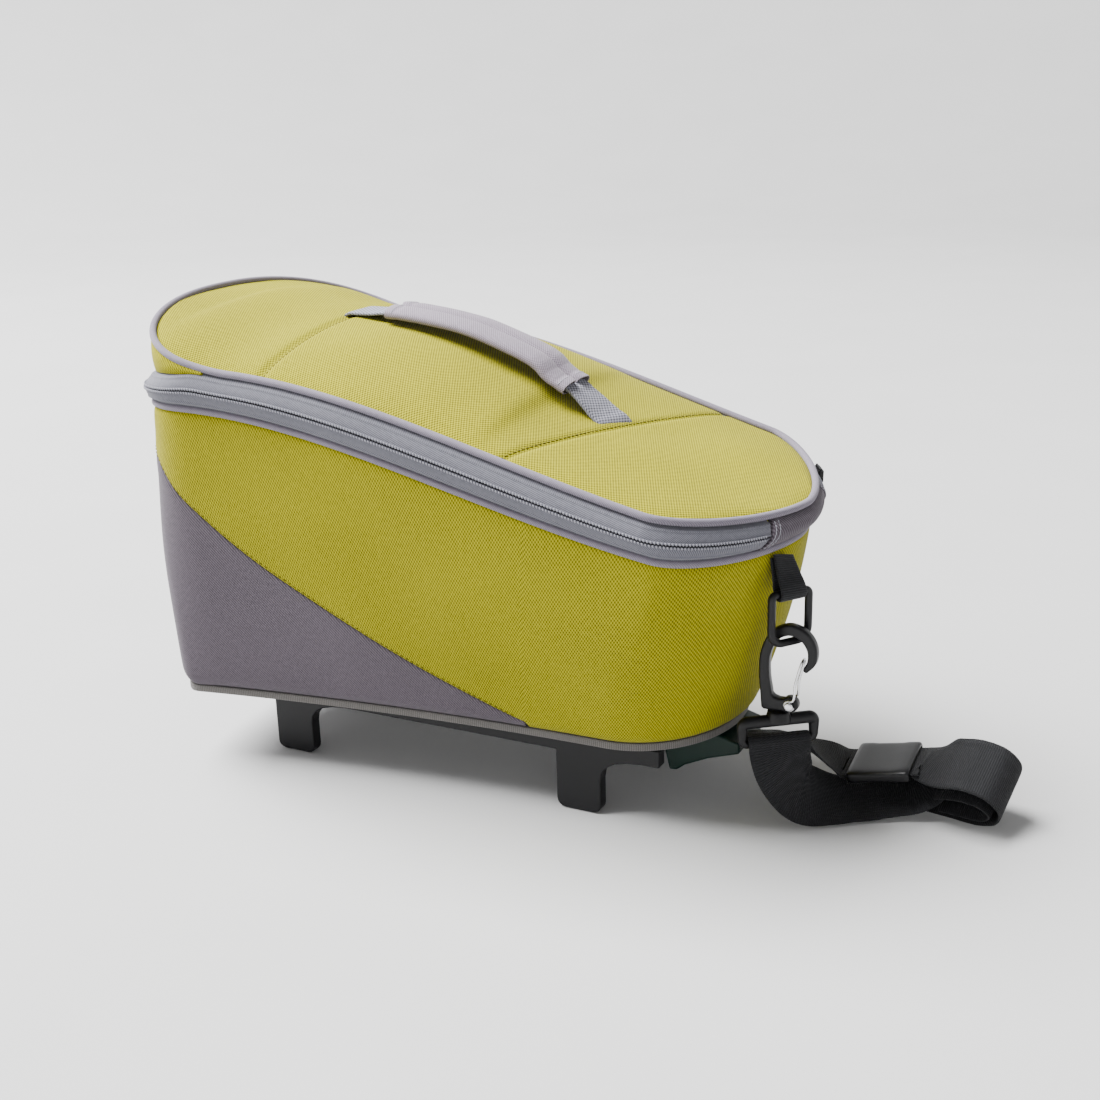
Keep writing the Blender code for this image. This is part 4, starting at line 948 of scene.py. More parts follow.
@dataclass
class ZipBand:
    """Both pipings, the zip tapes, the covered coil with its teeth, the hinge patch and the lid's gusset."""

    form: BagForm
    columns: int = 420
    thickness: float = 1.5 * MM
    flange: float = 0.6 * MM
    crease: float = 1.1 * MM
    slit: float = 0.55 * MM
    ridge: float = 0.75 * MM
    stitch_pitch: float = 1.75 * MM
    tooth_pitch: float = 1.5 * MM
    tooth: Tuple[float, float, float] = (0.62 * MM, 0.4 * MM, 0.4 * MM)
    stitch: Tuple[float, float, float] = (0.75 * MM, 0.42 * MM, 0.34 * MM)
    tooth_depth: float = 0.15 * MM
    overlap: float = 0.03
    fold_place: float = 0.10
    fold_run: float = 0.035
    crease_run: float = 0.04
    bead_lean: float = 0.35
    bead_setback: float = 0.004
    floor_depth: float = 1.1 * MM
    floor_thickness: float = 1.2 * MM
    cover_thickness: float = 0.8 * MM
    patch_thickness: float = 2.6 * MM
    patch_rise: float = 0.5 * MM
    hem_rise: float = 0.7 * MM
    hem_middle: float = 2.6 * MM
    hem_run: float = 2.2 * MM
    hem_rows: Tuple[float, float] = (1.1 * MM, 4.4 * MM)
    hem_stitch: Tuple[float, float, float] = (0.95 * MM, 0.26 * MM, 0.2 * MM)
    hem_stitch_rise: float = 1.15 * MM
    gusset_thickness: float = 2.2 * MM
    gusset_puff: float = 1.2 * MM

    def piping(self, name: str, plan: Outline, height: np.ndarray, node: str) -> None:
        """Corded edge: a tube round the outline.

        Args:
            name: Name of the piece.
            plan: Outline that it follows.
            height: Height at each column.
            node: CAD node that it stands for.
        """
        stations = np.linspace(-1, 1, self.columns, endpoint=False)
        path = plan.point(stations)
        path[:, 2] = height
        radius = self.form.piping_radius
        points = sweep(path, np.broadcast_to(UP, path.shape), ring(radius * 0.98, 18), True)
        place(mesh_of(name, points, closed=True), FINISH.piping, [node])

    def strip(self, name: str, stations: np.ndarray, heights: np.ndarray, thickness: float,
              proud: Optional[np.ndarray] = None) -> bpy.types.Object:
        """Strip of the band between two heights, with a relief across it.

        Args:
            name: Name of the piece.
            stations: Stations of its columns.
            heights: Heights of its rows.
            thickness: Thickness of the cloth.
            proud: How far each row stands out.

        Returns:
            The piece.
        """
        station, height = np.meshgrid(stations, heights, indexing="ij")
        outer = self.form.band_point(station, height)
        normal = self.form.rim.normal(station)
        if proud is not None:
            outer = outer + normal * proud[None, :, None]
        return wall(name, outer, -normal * thickness, False, cloth_plane(self.middle_run(stations), outer))

    def middle_run(self, stations: np.ndarray) -> np.ndarray:
        """Length run along the middle of the band."""
        return run_along(self.form.band_point(stations, np.full(len(stations), 0.5)), 0)

    def beads(self, name: str, height: float, pitch: float, size: Sequence[float], proud: float,
              finish: Finish) -> None:
        """Row of beads along the band at one height, standing across it with a slight lean.

        Args:
            name: Name of the piece.
            height: Height on the band.
            pitch: Distance between beads.
            size: Half sizes of a bead.
            proud: How far the beads stand out.
            finish: Their finish.
        """
        limit = self.form.zip_end - self.bead_setback
        fine = np.linspace(-limit, limit, 3000)
        line = self.form.band_point(fine, np.full(3000, height))
        run = run_along(line, 0)
        places = np.arange(pitch, run[-1] - pitch, pitch)
        stations = np.interp(places, run, fine)
        centres = self.form.band_point(stations, np.full(len(stations), height))
        ahead = self.form.band_point(stations + 0.001, np.full(len(stations), height))
        normal = self.form.rim.normal(stations)
        direction = UP + unit(ahead - centres) * self.bead_lean
        place(scatter(name, centres + normal * proud, direction, normal, size), finish)

    def build(self) -> None:
        """Make and dress the band's pieces."""
        form = self.form
        stations = np.linspace(-1, 1, self.columns, endpoint=False)
        share = form.share(stations)
        self.piping("piping_low", form.rim.inset(form.piping_radius * 0.5),
                    form.rim_z(share) + form.piping_radius + GAP, "lower_piping")
        self.piping("piping_high", form.lid, form.lid_edge(share), "upper_piping")

        limit = form.zip_end
        stations = np.linspace(-limit, limit, self.columns)
        half = form.coil_width / form.zip_band / 2
        low = np.linspace(-self.overlap, 0.5 - half, 18)
        high = np.linspace(0.5 + half, 1 + self.overlap, 18)
        ease = self.flange * np.exp(-((low - self.fold_place) / self.fold_run) ** 2)
        ease -= self.crease * np.exp(-(low / self.crease_run) ** 2)
        lower = self.strip("tape_low", stations, low, self.thickness, ease)
        place(lower, FINISH.tape, ["zip_tape_lower"])
        upper = self.strip("tape_high", stations, high, self.thickness, ease[::-1])
        place(upper, FINISH.tape, ["zip_tape_upper"])

        slit = self.slit / form.zip_band
        across = np.linspace(0, 1, 14)
        mound = self.ridge * np.sin(np.pi * across) ** 0.8
        bed = np.linspace(0.5 - half, 0.5 + half, 6)
        floor = self.strip("coil_floor", stations, bed, self.floor_thickness, np.full(6, -self.floor_depth))
        place(floor, FINISH.teeth, ["zip_coil"])
        for name, start, end in (("coil_low", 0.5 - half, 0.5 - slit), ("coil_high", 0.5 + slit, 0.5 + half)):
            cover = self.strip(name, stations, start + (end - start) * across, self.cover_thickness, mound)
            place(cover, FINISH.coil)
            self.beads(name + "_stitches", (start + end) / 2, self.stitch_pitch, self.stitch, self.ridge,
                       FINISH.thread)
        self.beads("coil_teeth", 0.5, self.tooth_pitch, self.tooth, -self.tooth_depth,
                   FINISH.teeth)
        self.patch(limit)
        self.gusset()

    def patch(self, limit: float) -> None:
        """Cloth hinge at the narrow end, with a stitched hem down each end.

        Args:
            limit: Station where the zip ends.
        """
        form = self.form
        edge = limit + 2.0 * GAP / form.length * 2
        count = 70
        stations = np.concatenate([np.linspace(edge, 1, count, endpoint=False),
                                   np.linspace(-1, -edge, count)])
        heights = np.linspace(-0.02, 1.02, 22)
        station, height = np.meshgrid(stations, heights, indexing="ij")
        outer = form.band_point(station, height)
        normal = form.rim.normal(station)
        along = self.middle_run(stations)
        end = np.minimum(along, along[-1] - along)
        hem = self.hem_rise * np.exp(-((end - self.hem_middle) / self.hem_run) ** 4)
        outer = outer + normal * (hem[:, None, None] + self.patch_rise)
        piece = wall("hinge_cloth", outer, -normal * self.patch_thickness, False, cloth_plane(along, outer))
        place(piece, FINISH.grey, ["hinge_patch"])

        rows = np.linspace(0.06, 0.94, 9)
        centres, directions, normals = [], [], []
        for side in (1, -1):
            for inset in self.hem_rows:
                column = np.full(len(rows), np.interp(inset, along[:count], stations[:count]) * side)
                row = form.band_point(column, rows)
                facing = form.rim.normal(column)
                centres.append(row + facing * self.hem_stitch_rise)
                directions.append(np.gradient(row, axis=0))
                normals.append(facing)
        stitches = scatter("hinge_stitches", np.concatenate(centres), np.concatenate(directions),
                           np.concatenate(normals), self.hem_stitch)
        place(stitches, FINISH.thread)

    def gusset(self) -> None:
        """Green side wall of the lid between the zip and the upper piping round the wide end."""
        form = self.form
        share = form.lip_length / form.length * (1 - math.sqrt(form.gusset_rise * 0.5 / form.lip_rise))
        limit = form.station(share)
        stations = np.linspace(-limit, limit, 160)
        station, height = np.meshgrid(stations, np.linspace(0, 1, 16), indexing="ij")
        outer = form.gusset_point(station, height)
        normal = form.rim.normal(station)
        puff = self.gusset_puff * 4 * height * (1 - height)
        outer = outer + normal * puff[..., None]
        uv = cloth_plane(run_along(outer[:, 0], 0), outer)
        piece = wall("lid_gusset", outer, -normal * self.gusset_thickness, False, uv)
        place(piece, FINISH.green, ["lid_rear_gusset"])


@dataclass
class LidShell:
    """Three padded panels of the lid, sewn together at two seams."""

    form: BagForm
    rows: int = 110
    columns: int = 70
    thickness: float = 3.6 * MM
    groove: float = 1.3 * MM
    groove_run: float = 2.6 * MM
    unevenness: float = 0.9 * MM
    edge_drop: float = 2.4 * MM
    edge_run: float = 5.0 * MM
    calm_run: float = 20 * MM
    stitch_pitch: float = 3.3 * MM
    stitch_offset: float = 1.5 * MM
    stitch_rise: float = 0.12 * MM
    stitch: Tuple[float, float, float] = (1.25 * MM, 0.3 * MM, 0.24 * MM)

    def surface(self, share: np.ndarray, across: np.ndarray) -> np.ndarray:
        """Top face before its seams are pressed in, with its edge turned down to the piping.

        Args:
            share: Share of the length.
            across: -1 at the near edge, 1 at the far edge.

        Returns:
            The points.
        """
        form = self.form
        plan = form.lid.inset(form.piping_radius * 0.6)
        x = plan.rear + (plan.front - plan.rear) * share
        half = np.maximum(plan.half_width(share), 0.4 * MM)
        points = np.stack([x, half * across, form.lid_z(share, across)], -1)
        inside = np.minimum(half * (1 - np.abs(across)), np.minimum(x - plan.rear, plan.front - x))
        points[..., 2] -= self.edge_drop * np.exp(-inside / self.edge_run)
        return points

    def panel(self, name: str, low: float, high: float, low_skew: float, high_skew: float, node: str) -> None:
        """One panel: the surface less groove exp(-(d / run)^2) along its seams.

        Args:
            name: Name of the piece.
            low: Share of the length where it starts.
            high: Share of the length where it ends.
            low_skew: Skew of its start.
            high_skew: Skew of its end.
            node: CAD node that it stands for.
        """
        form = self.form
        start, end = form.station(low), form.station(high)
        turn = (1 - np.cos(np.linspace(0, np.pi, self.rows))) / 2
        across = np.sin(np.pi / 2 * np.linspace(-1, 1, self.columns))
        u, a = np.meshgrid(turn, across, indexing="ij")
        skew = low_skew * (1 - u) ** 2 + high_skew * u ** 2
        share = np.clip(form.share(start + (end - start) * u) + skew * a, 0, 1)
        points = self.surface(share, a)
        run = run_along(points, 0)
        pressed = np.zeros_like(u)
        if low > 0:
            pressed += np.exp(-(run / self.groove_run) ** 2)
        if high < 1:
            pressed += np.exp(-((run[-1:] - run) / self.groove_run) ** 2)
        calm = np.clip(np.minimum(run, run[-1:] - run) / self.calm_run, 0, 1) * (1 - a ** 6)
        points[..., 2] += self.unevenness * ripple(points, PADDING) * calm - self.groove * pressed
        inward = np.broadcast_to(-UP * self.thickness, points.shape)
        piece = wall(name, points, inward, False, points[..., :2])
        place(piece, FINISH.green, [node])

    def build(self) -> None:
        """Make and dress the panels and the rows of stitches beside the two seams."""
        form = self.form
        half = 0.25 * GAP / form.length
        self.panel("lid_rear", 0.0, form.rear_seam - half, 0.0, 0.0, "lid_rear_panel")
        self.panel("lid_centre", form.rear_seam + half, form.front_seam - half, 0.0, form.seam_skew,
                   "lid_centre_panel")
        self.panel("lid_front", form.front_seam + half, 1.0, form.seam_skew, 0.0, "lid_front_panel")
        self.stitches("front_seam_stitches", form.front_seam, form.seam_skew, -self.stitch_offset)
        self.stitches("rear_seam_stitches", form.rear_seam, 0.0, self.stitch_offset)

    def stitches(self, name: str, seam: float, skew: float, offset: float) -> None:
        """Row of stitches beside a seam.

        Args:
            name: Name of the piece.
            seam: Share of the length at the seam.
            skew: Skew of the seam.
            offset: Distance from the seam along the bag.
        """
        fine = np.linspace(-0.985, 0.985, 900)
        share = seam + skew * fine + offset / self.form.length
        line = self.surface(share, fine)
        line[:, 2] += -self.groove * math.exp(-(offset / self.groove_run) ** 2)
        end = run_along(line, 0)[-1] - self.stitch_pitch / 2
        centres, = read_at(line, np.arange(self.stitch_pitch, end, self.stitch_pitch))
        centres = centres + UP * self.stitch_rise
        outward = np.broadcast_to(UP, centres.shape)
        row = scatter(name, centres, np.gradient(centres, axis=0), outward, self.stitch)
        place(row, FINISH.olive)


@dataclass
class CarryHandle:
    """Flat webbing arched over the lid, inside a soft sleeve with a centre groove and sewn ends."""

    form: BagForm
    width: float = 25 * MM
    thickness: float = 2 * MM
    grip_width: float = 33 * MM
    grip_thickness: float = 9 * MM
    grip_start: float = 0.17
    grip_end: float = 0.87
    rise: float = 11 * MM
    end_inset: float = 4 * MM
    end_tail: float = 0.022
    end_sink: float = 3.2 * MM
    front_splay: float = 0.27
    cloth: float = 1.1 * MM
    hem: float = 4.5 * MM
    hem_swell: float = 0.05
    hem_squeeze: float = 0.10
    squeeze_run: float = 1.6 * MM
    creasing: float = 0.03
    crease_pitches: Tuple[float, float] = (37 * MM, 61 * MM)
    lobe_powers: Tuple[float, float] = (0.72, 0.8)
    groove_depth: float = 0.72
    groove_width: float = 0.11
    underside: float = 0.75
    notch_depth: float = 1.6 * MM
    notch_width: float = 3.2 * MM
    notch_fade: float = 5 * MM
    stitch: Tuple[float, float, float] = (0.8 * MM, 0.28 * MM, 0.22 * MM)

    # Columns: share of the handle's run, rise above the lid / rise
    ARCH = ((0.00, 0.00), (0.06, 0.08), (0.17, 0.36), (0.35, 0.58), (0.55, 0.86), (0.72, 1.00), (0.85, 0.93),
            (0.90, 0.72), (0.94, 0.44), (0.975, 0.16), (1.00, 0.04), (1.03, 0.00))

    def path(self, shares: np.ndarray) -> np.ndarray:
        """Middle line of the webbing at shares of its run, past its sewn ends too.

        Args:
            shares: Shares of the run.

        Returns:
            The points.
        """
        form = self.form
        rear = form.centre_shift - form.length / 2
        start = rear + form.length * form.rear_seam + self.end_inset
        end = rear + form.length * form.front_seam - self.end_inset
        arch = smooth(np.array(self.ARCH), 12)
        x = start + (end - start) * shares
        share = (x - rear) / form.length
        z = form.lid_z(share, np.zeros_like(share)) + np.interp(shares, arch[:, 0], arch[:, 1]) * self.rise
        return np.stack([x, np.zeros_like(x), z + self.thickness / 2 + 2 * GAP], 1)

    def build(self) -> None:
        """Make and dress the webbing, the sleeve and its stitches."""
        first, last = -self.end_tail, 1 + self.end_tail
        shares = np.linspace(first, last, 240)
        path = self.path(shares)
        ends = np.clip(np.minimum(shares - first, last - shares) / 0.03, 0, 1)
        path[:, 2] -= (1 - ends) ** 2 * self.end_sink
        points = sweep(path, np.broadcast_to(ACROSS, path.shape), slab(self.width, self.thickness, 10))
        points[..., 0] += np.clip((shares - 0.9) / 0.12, 0, 1)[:, None] * points[..., 1] * self.front_splay
        place(mesh_of("handle_web", points), FINISH.web, ["handle_webbing"])
        self.sleeve()

    def section(self, count: int) -> np.ndarray:
        """Two soft lobes: a superellipse whose top is parted by a groove down the middle."""
        turn = np.linspace(0, 2 * np.pi, count, endpoint=False)
        wave = np.stack([np.cos(turn), np.sin(turn)])
        a, b = np.sign(wave) * np.abs(wave) ** np.array(self.lobe_powers)[:, None]
        groove = self.groove_depth * np.exp(-np.abs(a / self.groove_width) ** 1.3)
        b = np.where(b > 0, b * (1 - groove), b * self.underside)
        return np.stack([a * self.grip_width / 2, b * self.grip_thickness / 2], 1)

    def sleeve(self) -> None:
        """Hollow sleeve: the section along the arch, thicker at its hems and notched at the groove."""
        shares = np.linspace(self.grip_start, self.grip_end, 200)
        path = self.path(shares)
        run = run_along(path, 0)
        length = run[-1]
        section = self.section(72)
        end = np.minimum(run, length - run)
        swell = 1 + self.hem_swell * np.exp(-((end - self.hem * 0.5) / (self.hem * 0.6)) ** 4)
        squeeze = 1 - self.hem_squeeze * np.exp(-((end - self.hem * 1.5) / self.squeeze_run) ** 2)
        short, long = (2 * np.pi * run / pitch for pitch in self.crease_pitches)
        crease = 1 + self.creasing * np.sin(short) * np.sin(long + 1)
        scale = (swell * squeeze * crease)[:, None, None]
        outer = section[None] * np.concatenate([np.ones_like(scale), scale], 2)
        inner = outer - unit(section)[None] * self.cloth
        sides = np.broadcast_to(ACROSS, path.shape)
        skin = sweep(path, sides, outer)
        core = sweep(path, sides, inner)
        notch = self.notch_depth * np.exp(-(section[:, 0] / self.notch_width) ** 2) * (section[:, 1] > 0)
        fade = np.exp(-end / self.notch_fade) * np.where(run < length / 2, 1.0, -1.0)
        for grid in (skin, core):
            grid[..., 0] += fade[:, None] * notch[None]
        points = np.concatenate([skin, core[::-1]], 0)
        along = np.concatenate([run, run[::-1], run[:1]])
        around = np.concatenate([section, section[:1]])
        girth = run_along(around[:, None], 0)[:, 0]
        uv = np.stack(np.broadcast_arrays(along[:, None], girth[None]), -1)
        piece = mesh_of("handle_sleeve", points, uv, True)
        place(piece, FINISH.grip, ["handle_grip"])

        rows = []
        for at in (self.hem * 0.95, length - self.hem * 0.95):
            k = int(np.argmin(np.abs(run - at)))
            rows.append(skin[k, 2:34:2])
        centres = np.concatenate(rows)
        along_rows = np.concatenate([np.gradient(row, axis=0) for row in rows])
        outward = np.broadcast_to(UP, centres.shape)
        stitches = scatter("sleeve_stitches", centres, along_rows, outward, self.stitch)
        place(stitches, FINISH.thread)


@dataclass
class RackAdapter:
    """Moulded rack adapter with four legs and the release lever."""

    form: BagForm
    rear: float = -126 * MM
    front: float = 129 * MM
    width: float = 114 * MM
    plate: float = 7 * MM
    nose_setback: float = 17 * MM
    rail: float = 8 * MM
    rail_height: float = 10 * MM
    leg: float = 27 * MM
    front_leg: float = 67 * MM
    foot_corner: float = 5 * MM
    gusset_run: float = 34 * MM
    gusset_drop: float = 9 * MM
    lever_width: float = 42 * MM
    pin_setback: float = 8 * MM
    pin_drop: float = 6 * MM
    rail_edge: float = 1.3 * MM
    plate_edge: float = 1.0 * MM
    lever_edge: float = 1.2 * MM

    # Columns: X and Z in mm from the lever's pin
    LEVER_LINE = ((-4.5, 3.8), (-4.5, -5), (-3.4, -12), (-1, -22), (3.4, -21.4), (8, -17.6), (22, -11),
                  (40, -5), (40, 1), (28, 4.5))

    def extrude(self, name: str, outline: np.ndarray, low: float, high: float) -> bpy.types.Object:
        """Solid from an outline in X and Z carried along Y, with a cap on each side.

        Args:
            name: Name of the piece.
            outline: Rows of (x, z) round the outline.
            low: Lower Y.
            high: Upper Y.

        Returns:
            The piece.
        """
        count = len(outline)
        points = np.concatenate([np.stack([outline[:, 0], np.full(count, y), outline[:, 1]], 1)
                                 for y in (low, high)])
        points[:, 0] += self.form.centre_shift
        mesh = bpy.data.meshes.new(name)
        k = np.arange(count)
        sides = np.stack([k, (k + 1) % count, (k + 1) % count + count, k + count], 1)
        area = np.sum(outline[:, 0] * np.roll(outline[:, 1], -1) - np.roll(outline[:, 0], -1) * outline[:, 1])
        faces = sides[:, ::-1].tolist() + [k.tolist(), (k[::-1] + count).tolist()]
        if area < 0:
            faces = [face[::-1] for face in faces]
        mesh.from_pydata(points.tolist(), [], faces)
        mesh.shade_smooth()
        mesh.set_sharp_from_angle(angle=math.radians(40))
        return add_piece(name, mesh)

    def leg_line(self, left: float, low: float) -> List[Tuple[float, float]]:
        """Outline of one leg with the curved web on its front, after its rear top corner.

        Args:
            left: Rear edge of the leg.
            low: Underside of the rail.

        Returns:
            Rows of (x, z).
        """
        right = left + self.leg
        turn = np.linspace(0, np.pi / 2, 7)
        web = [(right + self.gusset_run * (1 - np.cos(t)) ** 1.1,
                low - self.gusset_drop * 1.6 * (1 - np.sin(t)) ** 1.35) for t in turn]
        corner = self.foot_corner
        turn = np.radians(np.linspace(0, 90, 5))
        heel = [(left + corner - corner * math.cos(t), corner - corner * math.sin(t)) for t in turn]
        toe = [(right - corner + corner * math.sin(t), corner - corner * math.cos(t)) for t in turn]
        return heel + toe + web

    def build(self) -> None:
        """Make and dress the rails, the plate and the lever."""
        top = self.form.clearance - GAP
        low = top - self.rail_height
        half = self.width / 2
        outline = [(self.rear, top)] + self.leg_line(self.rear, low) + [(self.front_leg, low)]
        outline += self.leg_line(self.front_leg, low) + [(self.front, low), (self.front, top)]
        for name, side, node in (("rail_near", -1, "adapter_rail_near"), ("rail_far", 1, "adapter_rail_far")):
            inner, outer = sorted((side * half, side * (half - self.rail)))
            rail = self.extrude(name, np.array(outline), inner, outer)
            bevel(rail, self.rail_edge, 4, 40)
            place(rail, FINISH.adapter, [node])
        inner = half - self.rail - GAP
        front = self.front - self.nose_setback
        plate = self.extrude("rack_plate", np.array([(self.rear, top - self.plate), (front, top - self.plate),
                                                     (front, top), (self.rear, top)]), -inner, inner)
        bevel(plate, self.plate_edge, 3)
        place(plate, FINISH.adapter, ["adapter_plate"])

        pin = np.array([self.front - self.pin_setback, top - self.pin_drop])
        line = np.array(self.LEVER_LINE) * MM + pin
        lever = self.extrude("release_blade", line, -self.lever_width / 2, self.lever_width / 2)
        bevel(lever, self.lever_edge, 3)
        place(lever, FINISH.lever, ["release_lever"], Body.LEVER)


@dataclass
class HangingClip:
    """Webbing loop, ring, snap hook with its sprung gate, and the frame that carries the strap."""

    form: BagForm
    loop_y: float = -27 * MM
    web_width: float = 15.5 * MM
    web_thickness: float = 1.5 * MM
    ply_gap: float = 0.5 * MM
    end_drop: float = 3 * MM
    ring_size: Tuple[float, float] = (27 * MM, 31 * MM)
    wire: float = 2.1 * MM
    ring_corners: Tuple[float, float] = (2.6 * MM, 7 * MM)
    ring_yaw: float = math.radians(36)
    ring_forward: float = 11 * MM
    ring_drop: float = 17 * MM
    hook_thickness: float = 6 * MM
    hook_width: float = 25 * MM
    hook_height: float = 48.5 * MM
    hook_yaw: float = math.radians(88)
    foot_width: float = 17.5 * MM
    foot_height: float = 8 * MM
    rivet: float = 1.4 * MM
    rivet_across: float = 1.6 * MM
    rivet_rise: float = 4.4 * MM
    lug: float = 4.3 * MM
    gate_wire: float = 0.65 * MM
    gate_length: float = 25.5 * MM
    neck: float = 6 * MM
    neck_height: float = 2.2 * MM
    frame_size: Tuple[float, float] = (44 * MM, 17 * MM)
    frame_wire: float = 2.4 * MM
    frame_top_wire: float = 3.4 * MM
    frame_corner: float = 2.8 * MM
    frame_yaw: float = math.radians(52)
    hook_edge: float = 1.5 * MM
    loop_rib_pitch: float = 1.25 * MM
    loop_rib_depth: float = 0.09

    # Columns: across / hook_width, height / hook_height, thickness / hook_thickness
    HOOK_LINE = ((-0.45, 0.18, 1.05), (-0.50, 0.41, 0.92), (-0.47, 0.67, 0.90), (-0.27, 0.87, 0.94),
                 (0.04, 0.938, 1.00), (0.33, 0.88, 1.00), (0.50, 0.73, 0.88), (0.48, 0.59, 0.74),
                 (0.38, 0.51, 0.50))
    # Columns: mm past the end of the rivet's shank, radius / rivet
    RIVET_HEAD = ((-0.1, 1.0), (0.0, 1.7), (0.45, 1.6), (0.85, 1.1), (1.0, 0.35))
    # Columns: share of the height from the bar's middle, radius / neck
    NECK_LINE = ((0.0, 1.12), (0.35, 1.1), (0.6, 1.0), (0.92, 0.96), (1.0, 0.88))

    @staticmethod
    def facing(yaw: float) -> Tuple[np.ndarray, np.ndarray]:
        """Width and outward directions of a hanging piece turned from +X towards the near side."""
        return (np.array([math.sin(yaw), math.cos(yaw), 0.0]), np.array([math.cos(yaw), -math.sin(yaw), 0.0]))

    def root(self) -> Tuple[np.ndarray, np.ndarray, np.ndarray]:
        """Wall point under the lower piping, the point below it where the loop ends, and outward."""
        form = self.form
        station = np.array(-form.station_of(abs(self.loop_y)))
        root = form.wall_point(station, np.array(1.0))
        sewn = form.wall_point(station, np.array(1 - self.end_drop / (root[2] - form.wall_foot)))
        return root, sewn, form.rim.normal(station)

    def bars(self) -> Tuple[np.ndarray, np.ndarray]:
        """Middles of the ring's upper and lower bars."""
        root, _, _ = self.root()
        _, out = self.facing(self.ring_yaw)
        upper = root + out * self.ring_forward - UP * (self.ring_drop + self.wire)
        return upper, upper - UP * (self.ring_size[1] - 2 * self.wire)

    def foot(self) -> np.ndarray:
        """Underside of the hook, below the bar that its crown hangs on."""
        _, bar = self.bars()
        _, height, thickness = self.HOOK_LINE[4]
        underside = height * self.hook_height - thickness * self.hook_thickness / 2
        return bar + UP * (self.wire + 5 * GAP - underside)

    def frame_centre(self) -> np.ndarray:
        """Middle of the strap frame under the hook's swivel neck."""
        across, _ = self.facing(self.hook_yaw)
        neck = self.foot() + across * (self.rivet_across + self.lug * 0.5 - self.foot_width / 2)
        top_bar = GAP + self.neck_height + self.frame_top_wire
        return neck - UP * (top_bar + self.frame_size[1] / 2 - self.frame_wire)

    @staticmethod
    def rounded(width: float, height: float, top: float, low: float, steps: int = 10) -> np.ndarray:
        """Rectangle with round corners, anticlockwise from its upper right corner."""
        rows = []
        corners = ((1, 1, 0, top), (-1, 1, 90, top), (-1, -1, 180, low), (1, -1, 270, low))
        for cx, cy, start, corner in corners:
            turn = np.radians(start + np.linspace(0, 90, steps))
            rows.append(np.stack([cx * (width / 2 - corner) + corner * np.cos(turn),
                                  cy * (height / 2 - corner) + corner * np.sin(turn)], 1))
        return np.concatenate(rows)

    def tube(self, name: str, centre: np.ndarray, yaw: float, outline: np.ndarray,
             radii: np.ndarray) -> bpy.types.Object:
        """Bar of varying radius bent along an outline that stands in a turned upright plane.

        Args:
            name: Name of the piece.
            centre: Middle of the outline.
            yaw: Turn of the plane.
            outline: Rows of (across, up).
            radii: Radius at each row.

        Returns:
            The piece.
        """
        across, out = self.facing(yaw)
        line = np.concatenate([outline, outline[:1]])
        packed = np.concatenate([radii, radii[:1]])[:, None]
        line, packed = even(line, 161, packed)
        line, packed = line[:-1], packed[:-1]
        path = centre + across * line[:, :1] + UP * line[:, 1:]
        profile = ring(1.0, 20)[None] * packed[:, :, None]
        points = sweep(path, np.broadcast_to(out, path.shape), profile, True)
        return mesh_of(name, points, closed=True)

    def build(self) -> None:
        """Make and dress the clip from the loop down to the frame."""
        self.loop()
        upper, lower = self.bars()
        w, h = self.ring_size
        outline = self.rounded(w - 2 * self.wire, h - 2 * self.wire, *self.ring_corners)
        radii = np.full(len(outline), self.wire)
        eye = self.tube("ring_eye", (upper + lower) / 2, self.ring_yaw, outline, radii)
        place(eye, FINISH.black, ["strap_ring"])
        self.hook()
        self.gate()
        self.frame()

    def loop(self) -> None:
        """Webbing sewn under the piping, folded round the ring's upper bar: two plies and a half turn."""
        _, sewn, outward = self.root()
        bar, _ = self.bars()
        across, out = self.facing(self.ring_yaw)
        radius = self.wire + GAP + self.web_thickness / 2
        root_across = np.array([-outward[1], outward[0], 0.0])
        ply = self.web_thickness + self.ply_gap
        back = sewn + outward * (self.web_thickness / 2 + GAP)
        front = back + outward * ply + UP * self.end_drop / 2
        turn = np.radians(np.linspace(30, -150, 10))[:, None]
        bend = bar + out * radius * np.cos(turn) + UP * radius * np.sin(turn)
        path = np.vstack([front, (front + bend[0]) / 2, bend, (bend[-1] + back) / 2, back])
        reach = np.array([0.0, 0.5] + [1.0] * 10 + [0.5, 0.0])[:, None]
        sides = root_across * (1 - reach) + across * reach
        fine, fine_sides = even(smooth(path, 8), 220, smooth(sides, 8))
        flat = slab(self.web_width, self.web_thickness, 6)
        section = ribbed(fine, flat, self.loop_rib_pitch, self.loop_rib_depth)
        piece = mesh_of("ring_webbing", sweep(fine, fine_sides, section))
        place(piece, FINISH.black_web, ["ring_loop_webbing"])

